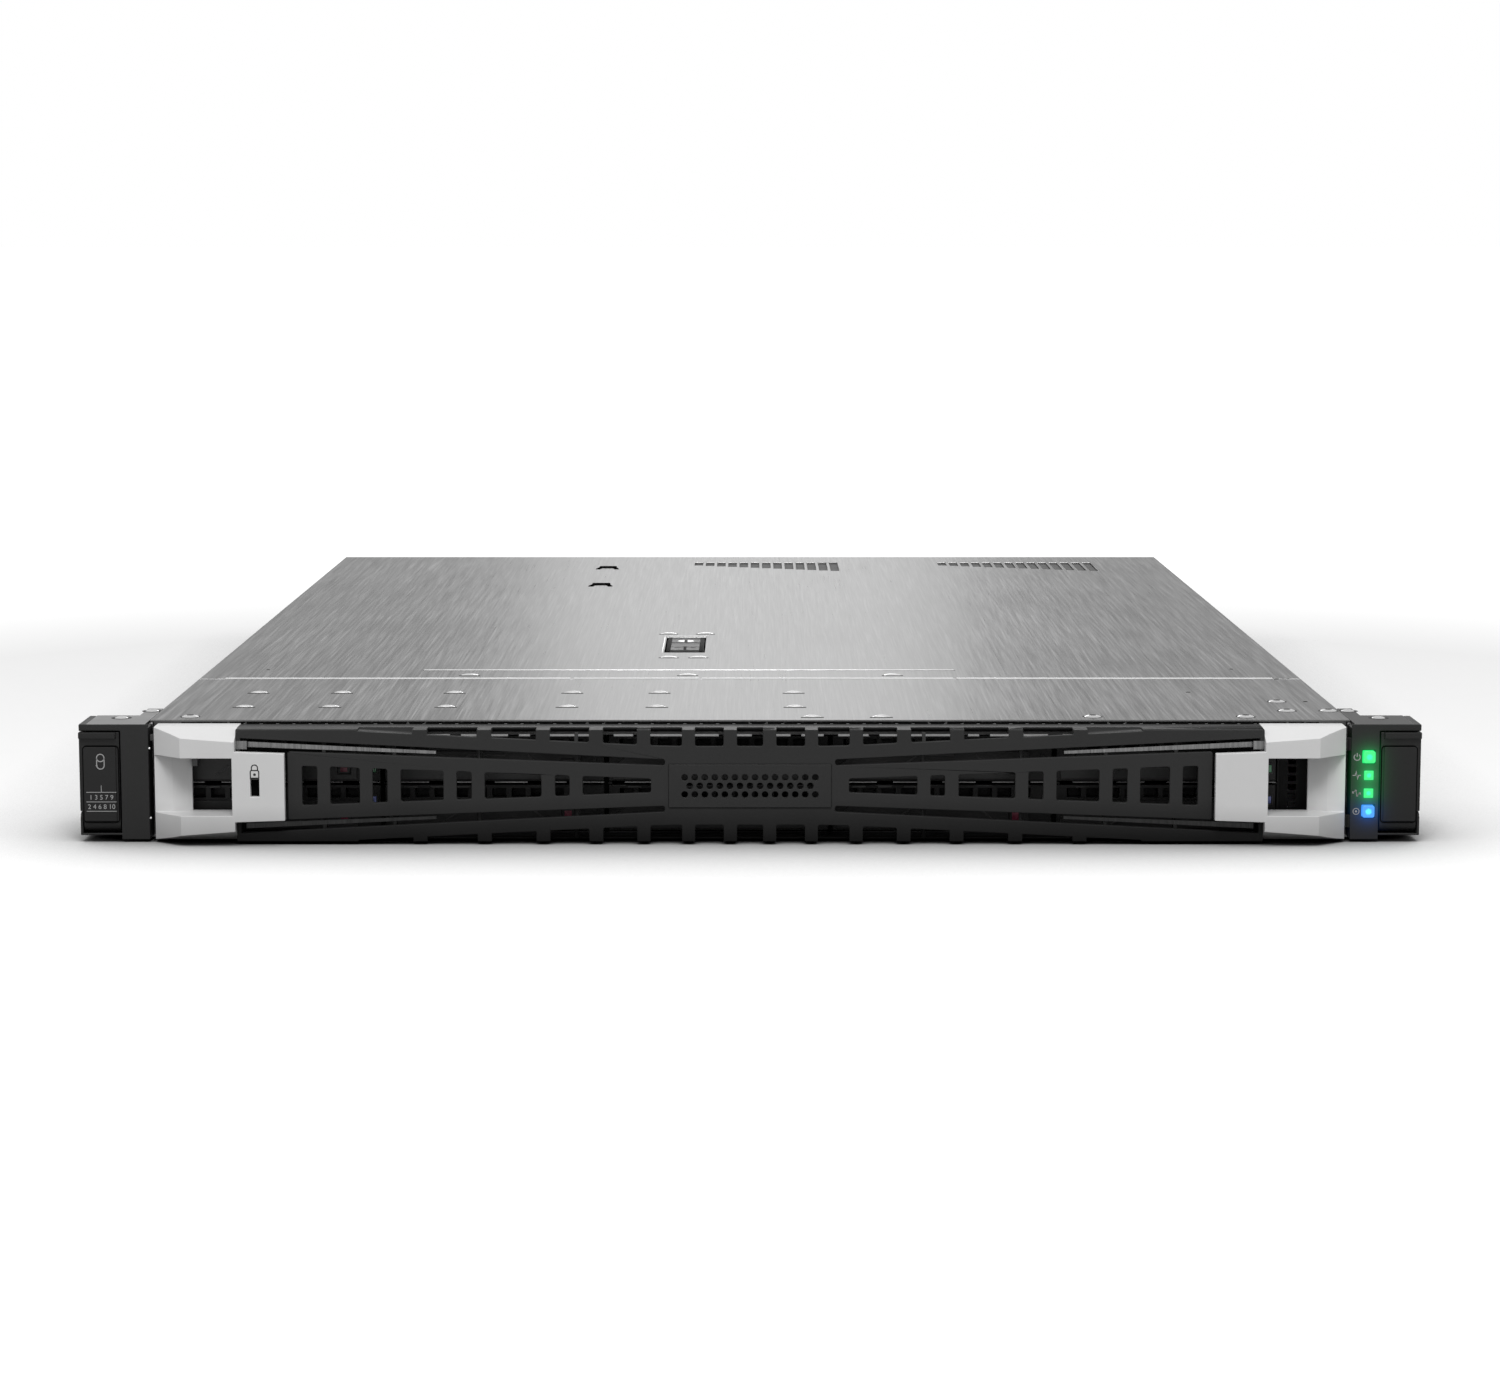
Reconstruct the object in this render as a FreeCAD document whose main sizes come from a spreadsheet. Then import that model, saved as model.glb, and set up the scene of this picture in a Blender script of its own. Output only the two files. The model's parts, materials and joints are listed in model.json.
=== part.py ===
"""A one-unit rack server as a parametric FreeCAD document.

Frame: X to the server's right as seen from the front, Y from the front to the rear, Z up.
The origin is the middle of the footprint, on the plane that the chassis floor rests on.
Lengths are millimetres.
"""
import FreeCAD
import Part
import Sketcher
import math
import os

DOC = FreeCAD.newDocument("rack_server")
SHEET = DOC.addObject("Spreadsheet::Sheet", "Dims")

# alias, value, meaning
CELLS = [
    ("chassis_width", 434.6, "outside of the side walls"),
    ("chassis_height", 42.9, "floor to the top of the lid"),
    ("chassis_depth", 650.0, "front edge of the lid to the rear wall"),
    ("tray_gauge", 1.0, "steel of the tray"),
    ("lid_gauge", 0.8, "steel of the covers"),
    ("rear_gauge", 1.2, "steel of the rear wall"),
    ("lid_gap", 0.3, "between the walls' top edges and the covers"),
    ("cover_length", 120.0, "fixed front cover, front to rear"),
    ("seam_gap", 0.7, "between the front cover and the access panel"),
    ("lip_drop", 5.5, "how far the covers' lips hang down"),
    ("vent_slot_pitch", 6.5, "slots in the front lip"),
    ("vent_slot_width", 5.7, "slots in the front lip"),
    # bezel
    ("bezel_reach", 20.0, "front of the bezel's ends to the lid's front edge"),
    ("bezel_gap", 0.6, "between the bezel and the chassis"),
    ("grille_setback", 4.0, "the grille's face behind the ends' faces"),
    ("grille_wall", 2.0, "the grille's front plate"),
    ("lip_wall", 1.6, "the grille's top lip"),
    ("sole_wall", 0.8, "the grille's bottom lip"),
    ("rail_window_depth", 7.0, "rail windows, front to rear through the lips"),
    ("bezel_drop", 1.4, "top of the grille below the lid's top"),
    ("bezel_bottom", 1.0, "the grille's underside above the floor plane"),
    ("bezel_half_width", 214.3, "middle to the outer side of an end"),
    ("arm_inner", 184.2, "middle to the inner side of an end's arms"),
    ("tab_inner", 166.4, "middle to the tip of an end's tab"),
    ("tab_half_height", 12.1, "tab of an end"),
    ("hand_hole_outer", 201.3, "outer side of the finger hole"),
    ("hand_hole_inner", 185.2, "inner side of the finger hole"),
    ("hand_hole_half_height", 10.4, "finger hole"),
    ("corner_face_start", 203.6, "where the corner face leaves the front face"),
    ("scoop_depth", 9.5, "finger scoop and corner face, front to rear"),
    ("end_drop", 1.1, "top of the bezel's ends below the lid's top"),
    ("end_bottom", 0.9, "underside of the bezel's ends"),
    ("arm_drop_inner", 4.3, "fall of an arm's top from rear to front, at its inner side"),
    ("arm_drop_outer", 1.9, "fall of an arm's top from rear to front, at its outer side"),
    ("arm_flat", 9.4, "flat top of an arm, front to rear"),
    ("end_plate", 3.0, "front plate of the ends"),
    ("end_roof", 1.6, "upper wall of an end, behind its front"),
    ("end_back_gap", 4.4, "open space behind the ends' inner parts, for the drives' travel"),
    ("tab_root_half_height", 12.7, "tab of an end, beside the arms"),
    ("tab_gap", 0.7, "between the grille's band and an end's tab"),
    ("band_window_base", 1.26, "half height of the band windows, carried back to the middle"),
    ("slot_inner", 30.5, "where the long slots begin beside the middle"),
    ("slot_inner_low", 7.3, "slot's near edge from the middle line, at slot_inner"),
    ("slot_inner_high", 9.5, "slot's far edge from the middle line, at slot_inner"),
    ("band_slope", 0.037, "taper of the middle band, per millimetre"),
    ("rail_slope", 0.050, "taper of the top and bottom rails, per millimetre"),
    ("rail_band", 4.7, "width of a rail's slanted bar"),
    ("window_round", 0.8, "corner radius of the grille's windows"),
    ("insert_width", 58.3, "centre insert"),
    ("insert_height", 15.6, "centre insert"),
    ("insert_proud", 0.5, "centre insert in front of the grille"),
    ("insert_hole_r", 1.15, "holes in the centre insert"),
    ("insert_hole_pitch", 3.6, "holes in the centre insert"),
    ("strip_gauge", 0.8, "metal strip"),
    ("release_bar", 2.2, "thickness of the bezel's release bar"),
    ("release_gap", 0.1, "round the release bar"),
    ("release_reach", 1.7, "release bar out of the bezel's left side"),
    ("swing_x", 216.5, "middle to the axis that the bezel swings on"),
    ("swing_y", 8.0, "the same axis ahead of the lid's front edge"),
    ("swing_nose_r", 1.5, "round noses that the bezel swings on"),
    ("swing_clearance", 0.1, "radial clearance of the noses"),
    ("swing_nose_height", 4.6, "round noses"),
    ("swing_nose_z", 14.0, "round noses from the bezel's middle height"),
    ("swing_neck", 1.6, "necks of the round noses"),
    ("lock_slot_x", 177.0, "middle to the lock slot"),
    ("lock_slot_width", 3.2, "security lock slot"),
    ("lock_slot_height", 7.0, "security lock slot"),
    # ears
    ("rack_width", 482.6, "outside of the ears, the 19 inch rack standard"),
    ("rack_hole_spacing", 465.1, "rack screw holes, side to side"),
    ("rack_hole_r", 3.4, "rack screw holes"),
    ("ear_inner_lap", 1.0, "ear housing inside the chassis side, ahead of it"),
    ("ear_front", 10.5, "ear housing ahead of the lid's front edge"),
    ("ear_rear", 14.2, "rear face of the rack flange behind the lid's front edge"),
    ("ear_drop", 0.2, "top of the ear bracket below the lid's top"),
    ("ear_bottom", 0.8, "underside of the ear housing"),
    ("ear_gauge", 1.2, "steel of the ear bracket"),
    ("ear_column", 10.1, "width of the ear's inner column"),
    ("ear_recess", 3.6, "ear housing behind the lever, ahead of the lid's edge"),
    ("ear_plate_length", 50.0, "bracket plate along the chassis side"),
    ("ear_wall", 1.6, "wall of the ear housing"),
    ("ear_cap", 1.2, "housing cap above the lever"),
    ("ear_sill", 2.4, "underside of the housing below the lever"),
    ("ear_lip", 0.8, "front wall that rises beside the steel plate"),
    ("ear_edge", 2.5, "outer wall that rises beside the steel plate"),
    ("ear_step_width", 6.0, "narrow rear part of the steel plate"),
    ("ear_step_length", 19.0, "narrow rear part of the steel plate"),
    ("ear_inner_wall", 3.0, "housing wall beside the bezel"),
    ("lever_gap", 0.4, "round the rack lever"),
    ("lever_thick", 6.1, "rack lever, front to rear"),
    ("lever_bar", 2.3, "height of the lever's thumb bar"),
    ("lever_bar_proud", 1.4, "thumb bar in front of the lever"),
    ("lever_pivot_z", 6.6, "lever pivot height"),
    ("lever_cheek", 0.9, "cheek outside the lever's heel"),
    ("lever_cheek_height", 7.0, "cheek outside the lever's heel"),
    ("lever_shoulder_gap", 1.8, "between the cheek and the lever's wide part"),
    ("label_width", 12.0, "raised panel on the rack lever"),
    ("label_height", 27.1, "raised panel on the rack lever"),
    ("pin_r", 1.3, "hinge pins moulded on levers"),
    ("pin_clearance", 0.05, "radial clearance round the pins"),
    # buttons
    ("button_x", 222.7, "middle to the lights' column"),
    ("button_size", 4.4, "power and locator buttons"),
    ("lens_size", 3.4, "status lenses"),
    ("button_gap", 0.2, "round the buttons"),
    ("button_depth", 6.0, "buttons, front to rear"),
    ("button_proud", 0.9, "buttons in front of the ear"),
    ("power_z", 30.9, "power button height"),
    ("health_z", 24.2, "health lens height"),
    ("network_z", 17.7, "network lens height"),
    ("locator_z", 11.1, "locator button height"),
    # drives
    ("bay_pitch", 81.3, "drive bays, side to side"),
    ("cage_side_gap", 1.2, "drive cage from the left wall"),
    ("cage_gauge", 0.8, "steel of the cages"),
    ("cage_length", 104.0, "drive cage, front to rear"),
    ("cage_setback", 2.0, "drive cage behind the lid's front edge"),
    ("drive_gap", 0.35, "round a drive in its bay"),
    ("drive_height", 16.6, "drive carrier"),
    ("drive_length", 98.0, "drive carrier, front to rear"),
    ("drive_setback", 1.0, "drive faces behind the lid's front edge"),
    ("drive_face", 7.0, "depth of the carrier's face moulding"),
    ("disk_width", 69.9, "solid-state disk"),
    ("disk_height", 15.0, "solid-state disk"),
    ("disk_length", 88.0, "solid-state disk"),
    ("ledge_width", 1.6, "ledges that carry the upper drives"),
    ("ledge_height", 0.8, "ledges that carry the upper drives"),
    ("ledge_z", 20.0, "underside of the ledges"),
    ("board_gauge", 1.6, "circuit boards"),
    # fans
    ("fan_size", 40.0, "fan frame, width and height"),
    ("fan_depth", 28.0, "fan frame, front to rear"),
    ("fan_pitch", 70.0, "fans, side to side"),
    ("fan_front", 165.0, "fan frames behind the lid's front edge"),
    ("fan_bore_r", 18.4, "fan bore"),
    ("fan_tip_gap", 0.7, "blade tips to the bore"),
    ("fan_hub_r", 10.0, "fan hub"),
    ("fan_shaft_r", 1.5, "fan shaft"),
    ("fan_motor_depth", 6.0, "motor seat at the rear of a frame"),
    ("fan_strut", 2.0, "struts that hold the motor"),
    # main board
    ("board_front", 205.0, "main board behind the lid's front edge"),
    ("board_z", 6.0, "underside of the main board"),
    ("board_margin", 2.0, "main board from the side walls"),
    ("board_rear_gap", 3.0, "main board from the rear wall"),
    ("standoff_r", 3.0, "posts under the main board"),
    ("cpu_x", 20.0, "processor, side to side"),
    ("cpu_y", 345.0, "processor behind the lid's front edge"),
    ("socket_width", 62.0, "processor socket"),
    ("socket_length", 84.0, "processor socket"),
    ("socket_height", 5.0, "processor socket"),
    ("sink_width", 78.0, "heatsink"),
    ("sink_length", 112.0, "heatsink"),
    ("sink_height", 27.0, "heatsink"),
    ("sink_base", 4.0, "heatsink base"),
    ("sink_fin_pitch", 3.0, "heatsink fins"),
    ("sink_fin_gap", 2.2, "clear space between fins"),
    ("memory_pitch", 8.6, "memory sockets, side to side"),
    ("memory_first", 52.0, "processor to the first memory socket"),
    ("memory_length", 133.4, "memory modules"),
    ("memory_height", 31.3, "memory modules"),
    ("memory_seat", 4.7, "memory modules' depth in their sockets"),
    ("memory_gauge", 1.3, "memory modules"),
    ("memory_socket_width", 5.4, "memory sockets"),
    ("memory_socket_height", 7.0, "memory sockets"),
    ("baffle_gauge", 1.2, "air baffle"),
    ("baffle_front", 212.0, "air baffle behind the lid's front edge"),
    # power supplies
    ("psu_width", 73.5, "power supply"),
    ("psu_height", 39.0, "power supply"),
    ("psu_length", 185.0, "power supply"),
    ("psu_gap", 0.4, "round a power supply"),
    ("psu_wall", 1.2, "power supply case"),
    ("handle_reach", 30.0, "power supply handle behind the rear wall"),
    ("handle_bar", 4.0, "thickness of the handle"),
    ("inlet_width", 24.4, "socket of the mains inlet"),
    ("inlet_height", 17.2, "socket of the mains inlet"),
    ("inlet_depth", 17.0, "socket of the mains inlet"),
    ("inlet_wall", 1.6, "wall of the mains inlet"),
    ("inlet_pin", 11.5, "blades of the mains inlet"),
    ("latch_pad", 7.0, "power supply latch, side to side"),
    # risers and ports
    ("slot_cover_width", 119.0, "expansion slot cover"),
    ("slot_cover_height", 17.6, "expansion slot cover"),
    ("slot_z", 22.6, "underside of the slot covers"),
    ("slot_a_x", 92.0, "left side of the right slot cover"),
    ("slot_b_x", -41.0, "left side of the left slot cover"),
    ("riser_wall_x", 84.0, "wall between the expansion spaces"),
    ("riser_length", 180.0, "riser cage, front to rear"),
    ("tab_reach", 9.0, "pull tabs behind the rear wall"),
    ("port_x", 66.0, "left side of the management port"),
    ("port_width", 15.6, "network socket"),
    ("port_height", 13.4, "network socket"),
    ("port_depth", 18.0, "network socket"),
    ("port_hole_width", 11.9, "hole of a network socket"),
    ("port_hole_height", 8.4, "hole of a network socket"),
    ("port_hole_depth", 13.0, "hole of a network socket"),
    ("usb_x", 44.0, "left side of the first data port"),
    ("usb_width", 14.5, "data port shell"),
    ("usb_height", 7.0, "data port shell"),
    ("video_x", 2.0, "left side of the video port"),
    ("video_width", 31.0, "video port flange"),
    ("video_height", 12.5, "video port flange"),
    ("card_x", 128.0, "left side of the network card"),
    ("card_width", 76.0, "network card"),
    ("card_length", 115.0, "network card, front to rear"),
    # access panel latch
    ("latch_x", -27.5, "panel latch, side to side"),
    ("latch_y", 238.5, "panel latch behind the lid's front edge"),
    ("latch_width", 17.0, "opening for the panel latch"),
    ("latch_length", 58.0, "opening for the panel latch"),
    ("latch_gap", 0.6, "round the panel latch"),
    ("latch_thick", 4.8, "panel latch lever"),
    ("latch_tub_wall", 1.2, "latch housing"),
    ("latch_tub_depth", 6.7, "latch housing below the lid; its floor clears the fins"),
    # roof vents
    ("roof_vent_pitch", 5.9, "slots in the access panel"),
    ("roof_vent_width", 4.3, "slots in the access panel"),
    ("roof_vent_rear", 31.0, "slots from the rear wall"),
    # rivets and rail studs
    ("rivet_r", 3.0, "rivet heads"),
    ("rivet_height", 0.7, "rivet heads"),
    ("bump_width", 6.2, "pressed bridges in the covers"),
    ("bump_length", 2.4, "pressed bridges in the covers"),
    ("bump_height", 0.5, "pressed bridges in the covers"),
    ("stud_r", 2.6, "rail stud shank"),
    ("stud_head_r", 4.6, "rail stud head"),
    ("stud_reach", 3.4, "rail stud out of the side wall"),
    ("stud_head", 1.0, "rail stud head, thickness"),
]


class Size:
    """A length and the sheet expression that it comes from, so that a binding follows the arithmetic."""

    def __init__(self, value, text=None):
        self.value = float(value)
        self.text = text or f"{float(value):.6f}"

    def _with(self, other, sign, flip=False):
        other = size(other)
        a, b = (other, self) if flip else (self, other)
        value = {"+": a.value + b.value, "-": a.value - b.value, "*": a.value * b.value}.get(sign)
        if sign == "/":
            value = a.value / b.value
        return Size(value, f"({a.text} {sign} {b.text})")

    def __add__(self, other):
        return self._with(other, "+")

    def __radd__(self, other):
        return self._with(other, "+", flip=True)

    def __sub__(self, other):
        return self._with(other, "-")

    def __rsub__(self, other):
        return self._with(other, "-", flip=True)

    def __mul__(self, other):
        return self._with(other, "*")

    def __rmul__(self, other):
        return self._with(other, "*", flip=True)

    def __truediv__(self, other):
        return self._with(other, "/")

    def __neg__(self):
        return self * -1


def size(value):
    """A Size from a Size or a plain number."""
    return value if isinstance(value, Size) else Size(value)


class Dims:
    """The sheet's cells as Sizes, by alias."""

    values = {alias: value for alias, value, _ in CELLS}

    def __getattr__(self, alias):
        return Size(self.values[alias], "Dims." + alias)


def fill_sheet():
    for row, (alias, value, meaning) in enumerate(CELLS, 1):
        SHEET.set(f"A{row}", alias)
        SHEET.set(f"B{row}", str(value))
        SHEET.set(f"C{row}", meaning)
        SHEET.setAlias(f"B{row}", alias)
    DOC.recompute()


class Circle:
    """A round outline for a sketch."""

    def __init__(self, u, v, radius):
        self.u, self.v, self.radius = size(u), size(v), size(radius)


def rect(u0, u1, v0, v1):
    """A rectangle's corners in a sketch plane."""
    return [(u0, v0), (u1, v0), (u1, v1), (u0, v1)]


def centred(u, v, width, height):
    """A rectangle about a middle point."""
    u, v, width, height = size(u), size(v), size(width), size(height)
    return rect(u - width / 2, u + width / 2, v - height / 2, v + height / 2)


class Piece:
    """One sub-part as a PartDesign body. Outlines are padded or cut between two planes square to an axis:
    XY outlines run along Z, XZ outlines along Y and YZ outlines along X."""

    def __init__(self, label):
        self.body = DOC.addObject("PartDesign::Body", label)
        self.body.Label = label
        self.planes = {o.Role: o for o in self.body.Origin.OriginFeatures}
        self.count = 0

    def sketch(self, plane, outlines, offset):
        self.count += 1
        made = self.body.newObject("Sketcher::SketchObject", f"{self.body.Name}_sketch_{self.count}")
        made.AttachmentSupport = [(self.planes[plane + "_Plane"], "")]
        made.MapMode = "FlatFace"
        made.setExpression("AttachmentOffset.Base.z", size(offset).text)
        bound = []
        constraints = []
        for outline in outlines:
            first = made.GeometryCount
            if isinstance(outline, Circle):
                centre = FreeCAD.Vector(outline.u.value, outline.v.value, 0)
                made.addGeometry(Part.Circle(centre, FreeCAD.Vector(0, 0, 1), outline.radius.value), False)
                constraints.append(Sketcher.Constraint("Radius", first, outline.radius.value))
                bound.append(outline.radius)
                corners = [(first, 3, outline.u, outline.v)]
            else:
                points = [(size(u), size(v)) for u, v in outline]
                vectors = [FreeCAD.Vector(u.value, v.value, 0) for u, v in points]
                edges = zip(vectors, vectors[1:] + vectors[:1])
                made.addGeometry([Part.LineSegment(a, b) for a, b in edges], False)
                last = len(points) - 1
                for i in range(len(points)):
                    after = first if i == last else first + i + 1
                    constraints.append(Sketcher.Constraint("Coincident", first + i, 2, after, 1))
                    bound.append(None)
                corners = [(first + i, 1, u, v) for i, (u, v) in enumerate(points)]
            for geometry, end, u, v in corners:
                constraints.append(Sketcher.Constraint("DistanceX", -1, 1, geometry, end, u.value))
                constraints.append(Sketcher.Constraint("DistanceY", -1, 1, geometry, end, v.value))
                bound += [u, v]
        made.addConstraint(constraints)
        for index, length in enumerate(bound):
            if length is not None:
                made.setExpression(f"Constraints[{index}]", length.text)
        return made

    def pad(self, plane, outlines, start, end):
        """Adds material between start and end."""
        start, end = size(start), size(end)
        along = plane == "XZ"
        profile = self.sketch(plane, outlines, -start if along else start)
        made = self.body.newObject("PartDesign::Pad", f"{self.body.Name}_pad_{self.count}")
        made.Profile = profile
        made.Reversed = along
        made.setExpression("Length", (end - start).text)
        made.Refine = True
        return made

    def cut(self, plane, outlines, start, end):
        """Takes material away between start and end, and checks that it did."""
        start, end = size(start), size(end)
        self.body.recompute(True)
        before = self.body.Shape.Volume
        along = plane == "XZ"
        profile = self.sketch(plane, outlines, -start if along else start)
        made = self.body.newObject("PartDesign::Pocket", f"{self.body.Name}_cut_{self.count}")
        made.Profile = profile
        made.Reversed = not along
        made.setExpression("Length", (end - start).text)
        made.Refine = True
        self.body.recompute(True)
        if self.body.Shape.Volume >= before:
            raise RuntimeError(f"{self.body.Label}: cut {self.count} took nothing away")
        return made

    def cut_each(self, plane, outlines, start, end, at_once=5):
        """The same as cut, a few outlines to a sketch, because a sketch of many outlines is slow to solve."""
        for first in range(0, len(outlines), at_once):
            self.cut(plane, outlines[first:first + at_once], start, end)

    def edges(self, chosen):
        """Names of the edges that a test picks, by edge."""
        self.body.recompute(True)
        shape = self.body.Tip.Shape
        return [f"Edge{i}" for i, edge in enumerate(shape.Edges, 1) if chosen(edge)]

    def dress(self, kind, amount_name, amount, chosen):
        """Rounds or bevels the edges that a test picks."""
        names = self.edges(chosen)
        if not names:
            raise RuntimeError(f"{self.body.Label}: no edge to {kind.lower()}")
        base = self.body.Tip
        self.count += 1
        made = self.body.newObject("PartDesign::" + kind, f"{self.body.Name}_{kind.lower()}_{self.count}")
        made.Base = (base, names)
        made.setExpression(amount_name, size(amount).text)
        self.body.Tip = made
        return made

    def round(self, radius, chosen):
        return self.dress("Fillet", "Radius", radius, chosen)

    def bevel(self, length, chosen):
        return self.dress("Chamfer", "Size", length, chosen)

    def row(self, features, axis, length, count):
        """Repeats features along an axis of the body, count times over length."""
        made = self.body.newObject("PartDesign::LinearPattern", f"{self.body.Name}_row_{self.count}")
        made.Originals = features
        made.Direction = (self.planes[axis + "_Axis"], [""])
        made.setExpression("Length", size(length).text)
        made.Occurrences = count
        self.body.Tip = made
        return made


def parallel(axis, test=lambda edge: True):
    """An edge test: straight, along an axis, and passing a further test."""
    direction = {"X": (1, 0, 0), "Y": (0, 1, 0), "Z": (0, 0, 1)}[axis]

    def chosen(edge):
        if edge.Curve.TypeId != "Part::GeomLine":
            return False
        along = edge.Curve.Direction
        return abs(abs(along.dot(FreeCAD.Vector(*direction))) - 1) < 1e-6 and test(edge)

    return chosen


def block(name, x, y, z):
    """A box between two values on each axis."""
    made = DOC.addObject("Part::Box", name)
    made.Label = name
    for axis, length, (low, high) in zip("xyz", ("Length", "Width", "Height"), (x, y, z)):
        low, high = size(low), size(high)
        made.setExpression(length, (high - low).text)
        made.setExpression("Placement.Base." + axis, low.text)
    return made


def rod(name, axis, middle, radius, start, end, top_radius=None):
    """A cylinder, or a cone, along an axis. The middle gives the other two coordinates in order."""
    kind = "Part::Cone" if top_radius is not None else "Part::Cylinder"
    made = DOC.addObject(kind, name)
    made.Label = name
    start, end = size(start), size(end)
    turn = {"X": ((0, 1, 0), 90), "Y": ((1, 0, 0), -90), "Z": ((0, 0, 1), 0)}[axis]
    made.Placement.Rotation = FreeCAD.Rotation(FreeCAD.Vector(*turn[0]), turn[1])
    if top_radius is None:
        made.setExpression("Radius", size(radius).text)
    else:
        made.setExpression("Radius1", size(radius).text)
        made.setExpression("Radius2", size(top_radius).text)
    made.setExpression("Height", (end - start).text)
    others = [a for a in "XYZ" if a != axis]
    for other, value in zip(others, middle):
        made.setExpression("Placement.Base." + other.lower(), size(value).text)
    made.setExpression("Placement.Base." + axis.lower(), start.text)
    return made


def fuse(name, *shapes):
    """One solid from several."""
    made = DOC.addObject("Part::MultiFuse", name)
    made.Label = name
    made.Shapes = list(shapes)
    made.Refine = True
    return made


def cut(name, base, *tools):
    """A solid with others taken out of it."""
    tool = tools[0] if len(tools) == 1 else fuse(name + "_tools", *tools)
    made = DOC.addObject("Part::Cut", name)
    made.Label = name
    made.Base = base
    made.Tool = tool
    made.Refine = True
    return made


def common(name, base, tool):
    """What two solids share."""
    made = DOC.addObject("Part::Common", name)
    made.Label = name
    made.Base = base
    made.Tool = tool
    return made


def group(name, *shapes):
    """Separate solids as one sub-part."""
    made = DOC.addObject("Part::Compound", name)
    made.Label = name
    made.Links = list(shapes)
    return made


NODES = {}


def node(name, made):
    """Keeps a finished sub-part for the export."""
    made = made.body if isinstance(made, Piece) else made
    made.Label = name
    NODES[name] = made
    return made


fill_sheet()
d = Dims()

front = d.bezel_reach - (d.bezel_reach + d.chassis_depth + d.handle_reach) / 2
rear = front + d.chassis_depth
side = d.chassis_width / 2
inner_side = side - d.tray_gauge
floor = d.tray_gauge
lid_top = d.chassis_height
ear_top = lid_top - d.ear_drop
end_top = lid_top - d.end_drop
bezel_height = lid_top - d.bezel_drop - d.bezel_bottom
lid_under = lid_top - d.lid_gauge
wall_top = lid_under - d.lid_gap
board_top = d.board_z + d.board_gauge


def behind(distance):
    """A Y position behind the lid's front edge."""
    return front + distance


def ahead(distance):
    """A Y position ahead of the lid's front edge."""
    return front - distance


def build_tray():
    tray = Piece("chassis_tray")
    outline = [(-side, 0), (side, 0), (side, wall_top), (inner_side, wall_top), (inner_side, floor)]
    outline += [(-inner_side, floor), (-inner_side, wall_top), (-side, wall_top)]
    tray.pad("XZ", [outline], front, rear)
    vents = [centred(behind(140.0 + 14.0 * i), d.chassis_height / 2, 8.0, 5.0) for i in range(5)]
    tray.cut("YZ", vents, -side - 1, -inner_side + 0.5)
    tray.cut("YZ", vents, inner_side - 0.5, side + 1)
    node("chassis_tray", tray)


psu_left = [-inner_side + d.psu_gap]
psu_left.append(psu_left[0] + d.psu_width + d.psu_gap * 2 + d.cage_gauge)
psu_bottom = floor + d.psu_gap
psu_top = psu_bottom + d.psu_height
psu_front = rear - d.psu_length
cage_right = psu_left[1] + d.psu_width + d.psu_gap
riser_top = lid_under - d.psu_gap * 2
tab_spans = [(d.slot_b_x - 4.0, d.slot_b_x + 7.0), (d.riser_wall_x - 10.0, d.riser_wall_x + 11.0)]


def build_rear_wall():
    wall_front = rear - d.rear_gauge
    plate = block("rear_plate", (cage_right, inner_side), (wall_front, rear), (floor, wall_top))
    roof_z = (psu_top + d.psu_gap, psu_top + d.psu_gap + d.cage_gauge)
    roof = block("psu_roof", (-inner_side, cage_right + d.cage_gauge), (psu_front, rear), roof_z)
    parts = [plate, roof]
    for i, x in enumerate((psu_left[0] + d.psu_width + d.psu_gap, cage_right)):
        parts.append(block(f"psu_guide_{i}", (x, x + d.cage_gauge), (psu_front, rear), (floor, roof_z[1])))
    through = (wall_front - 1, rear + 1)
    tools = []
    for i, x in enumerate((d.slot_a_x, d.slot_b_x)):
        z = (d.slot_z + 1, d.slot_z + d.slot_cover_height - 1)
        tools.append(block(f"slot_window_{i}", (x + 1, x + d.slot_cover_width - 1), through, z))
    for i, (x0, x1) in enumerate(tab_spans):
        tools.append(block(f"tab_notch_{i}", (x0 - 0.5, x1 + 0.5), through, (riser_top - 1.3, wall_top + 1)))
    tools.append(block("card_window", (d.card_x + 1, d.card_x + d.card_width - 1), through, (3.2, 20.6)))
    port_z = (board_top - 0.2, board_top + d.port_height + 0.2)
    tools.append(block("port_window", (d.port_x - 0.2, d.port_x + d.port_width + 0.2), through, port_z))
    usb_z = (board_top - 0.2, board_top + d.usb_height + 0.2)
    for i in range(2):
        x = d.usb_x - i * 24.0
        tools.append(block(f"usb_window_{i}", (x - 0.2, x + d.usb_width + 0.2), through, usb_z))
    video_z = (board_top, board_top + d.video_height)
    tools.append(block("video_window", (d.video_x - 28.0, d.video_x - 28.0 + d.video_width), through, video_z))
    node("rear_wall", cut("rear_wall", fuse("rear_sheet", *parts), *tools))


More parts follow.
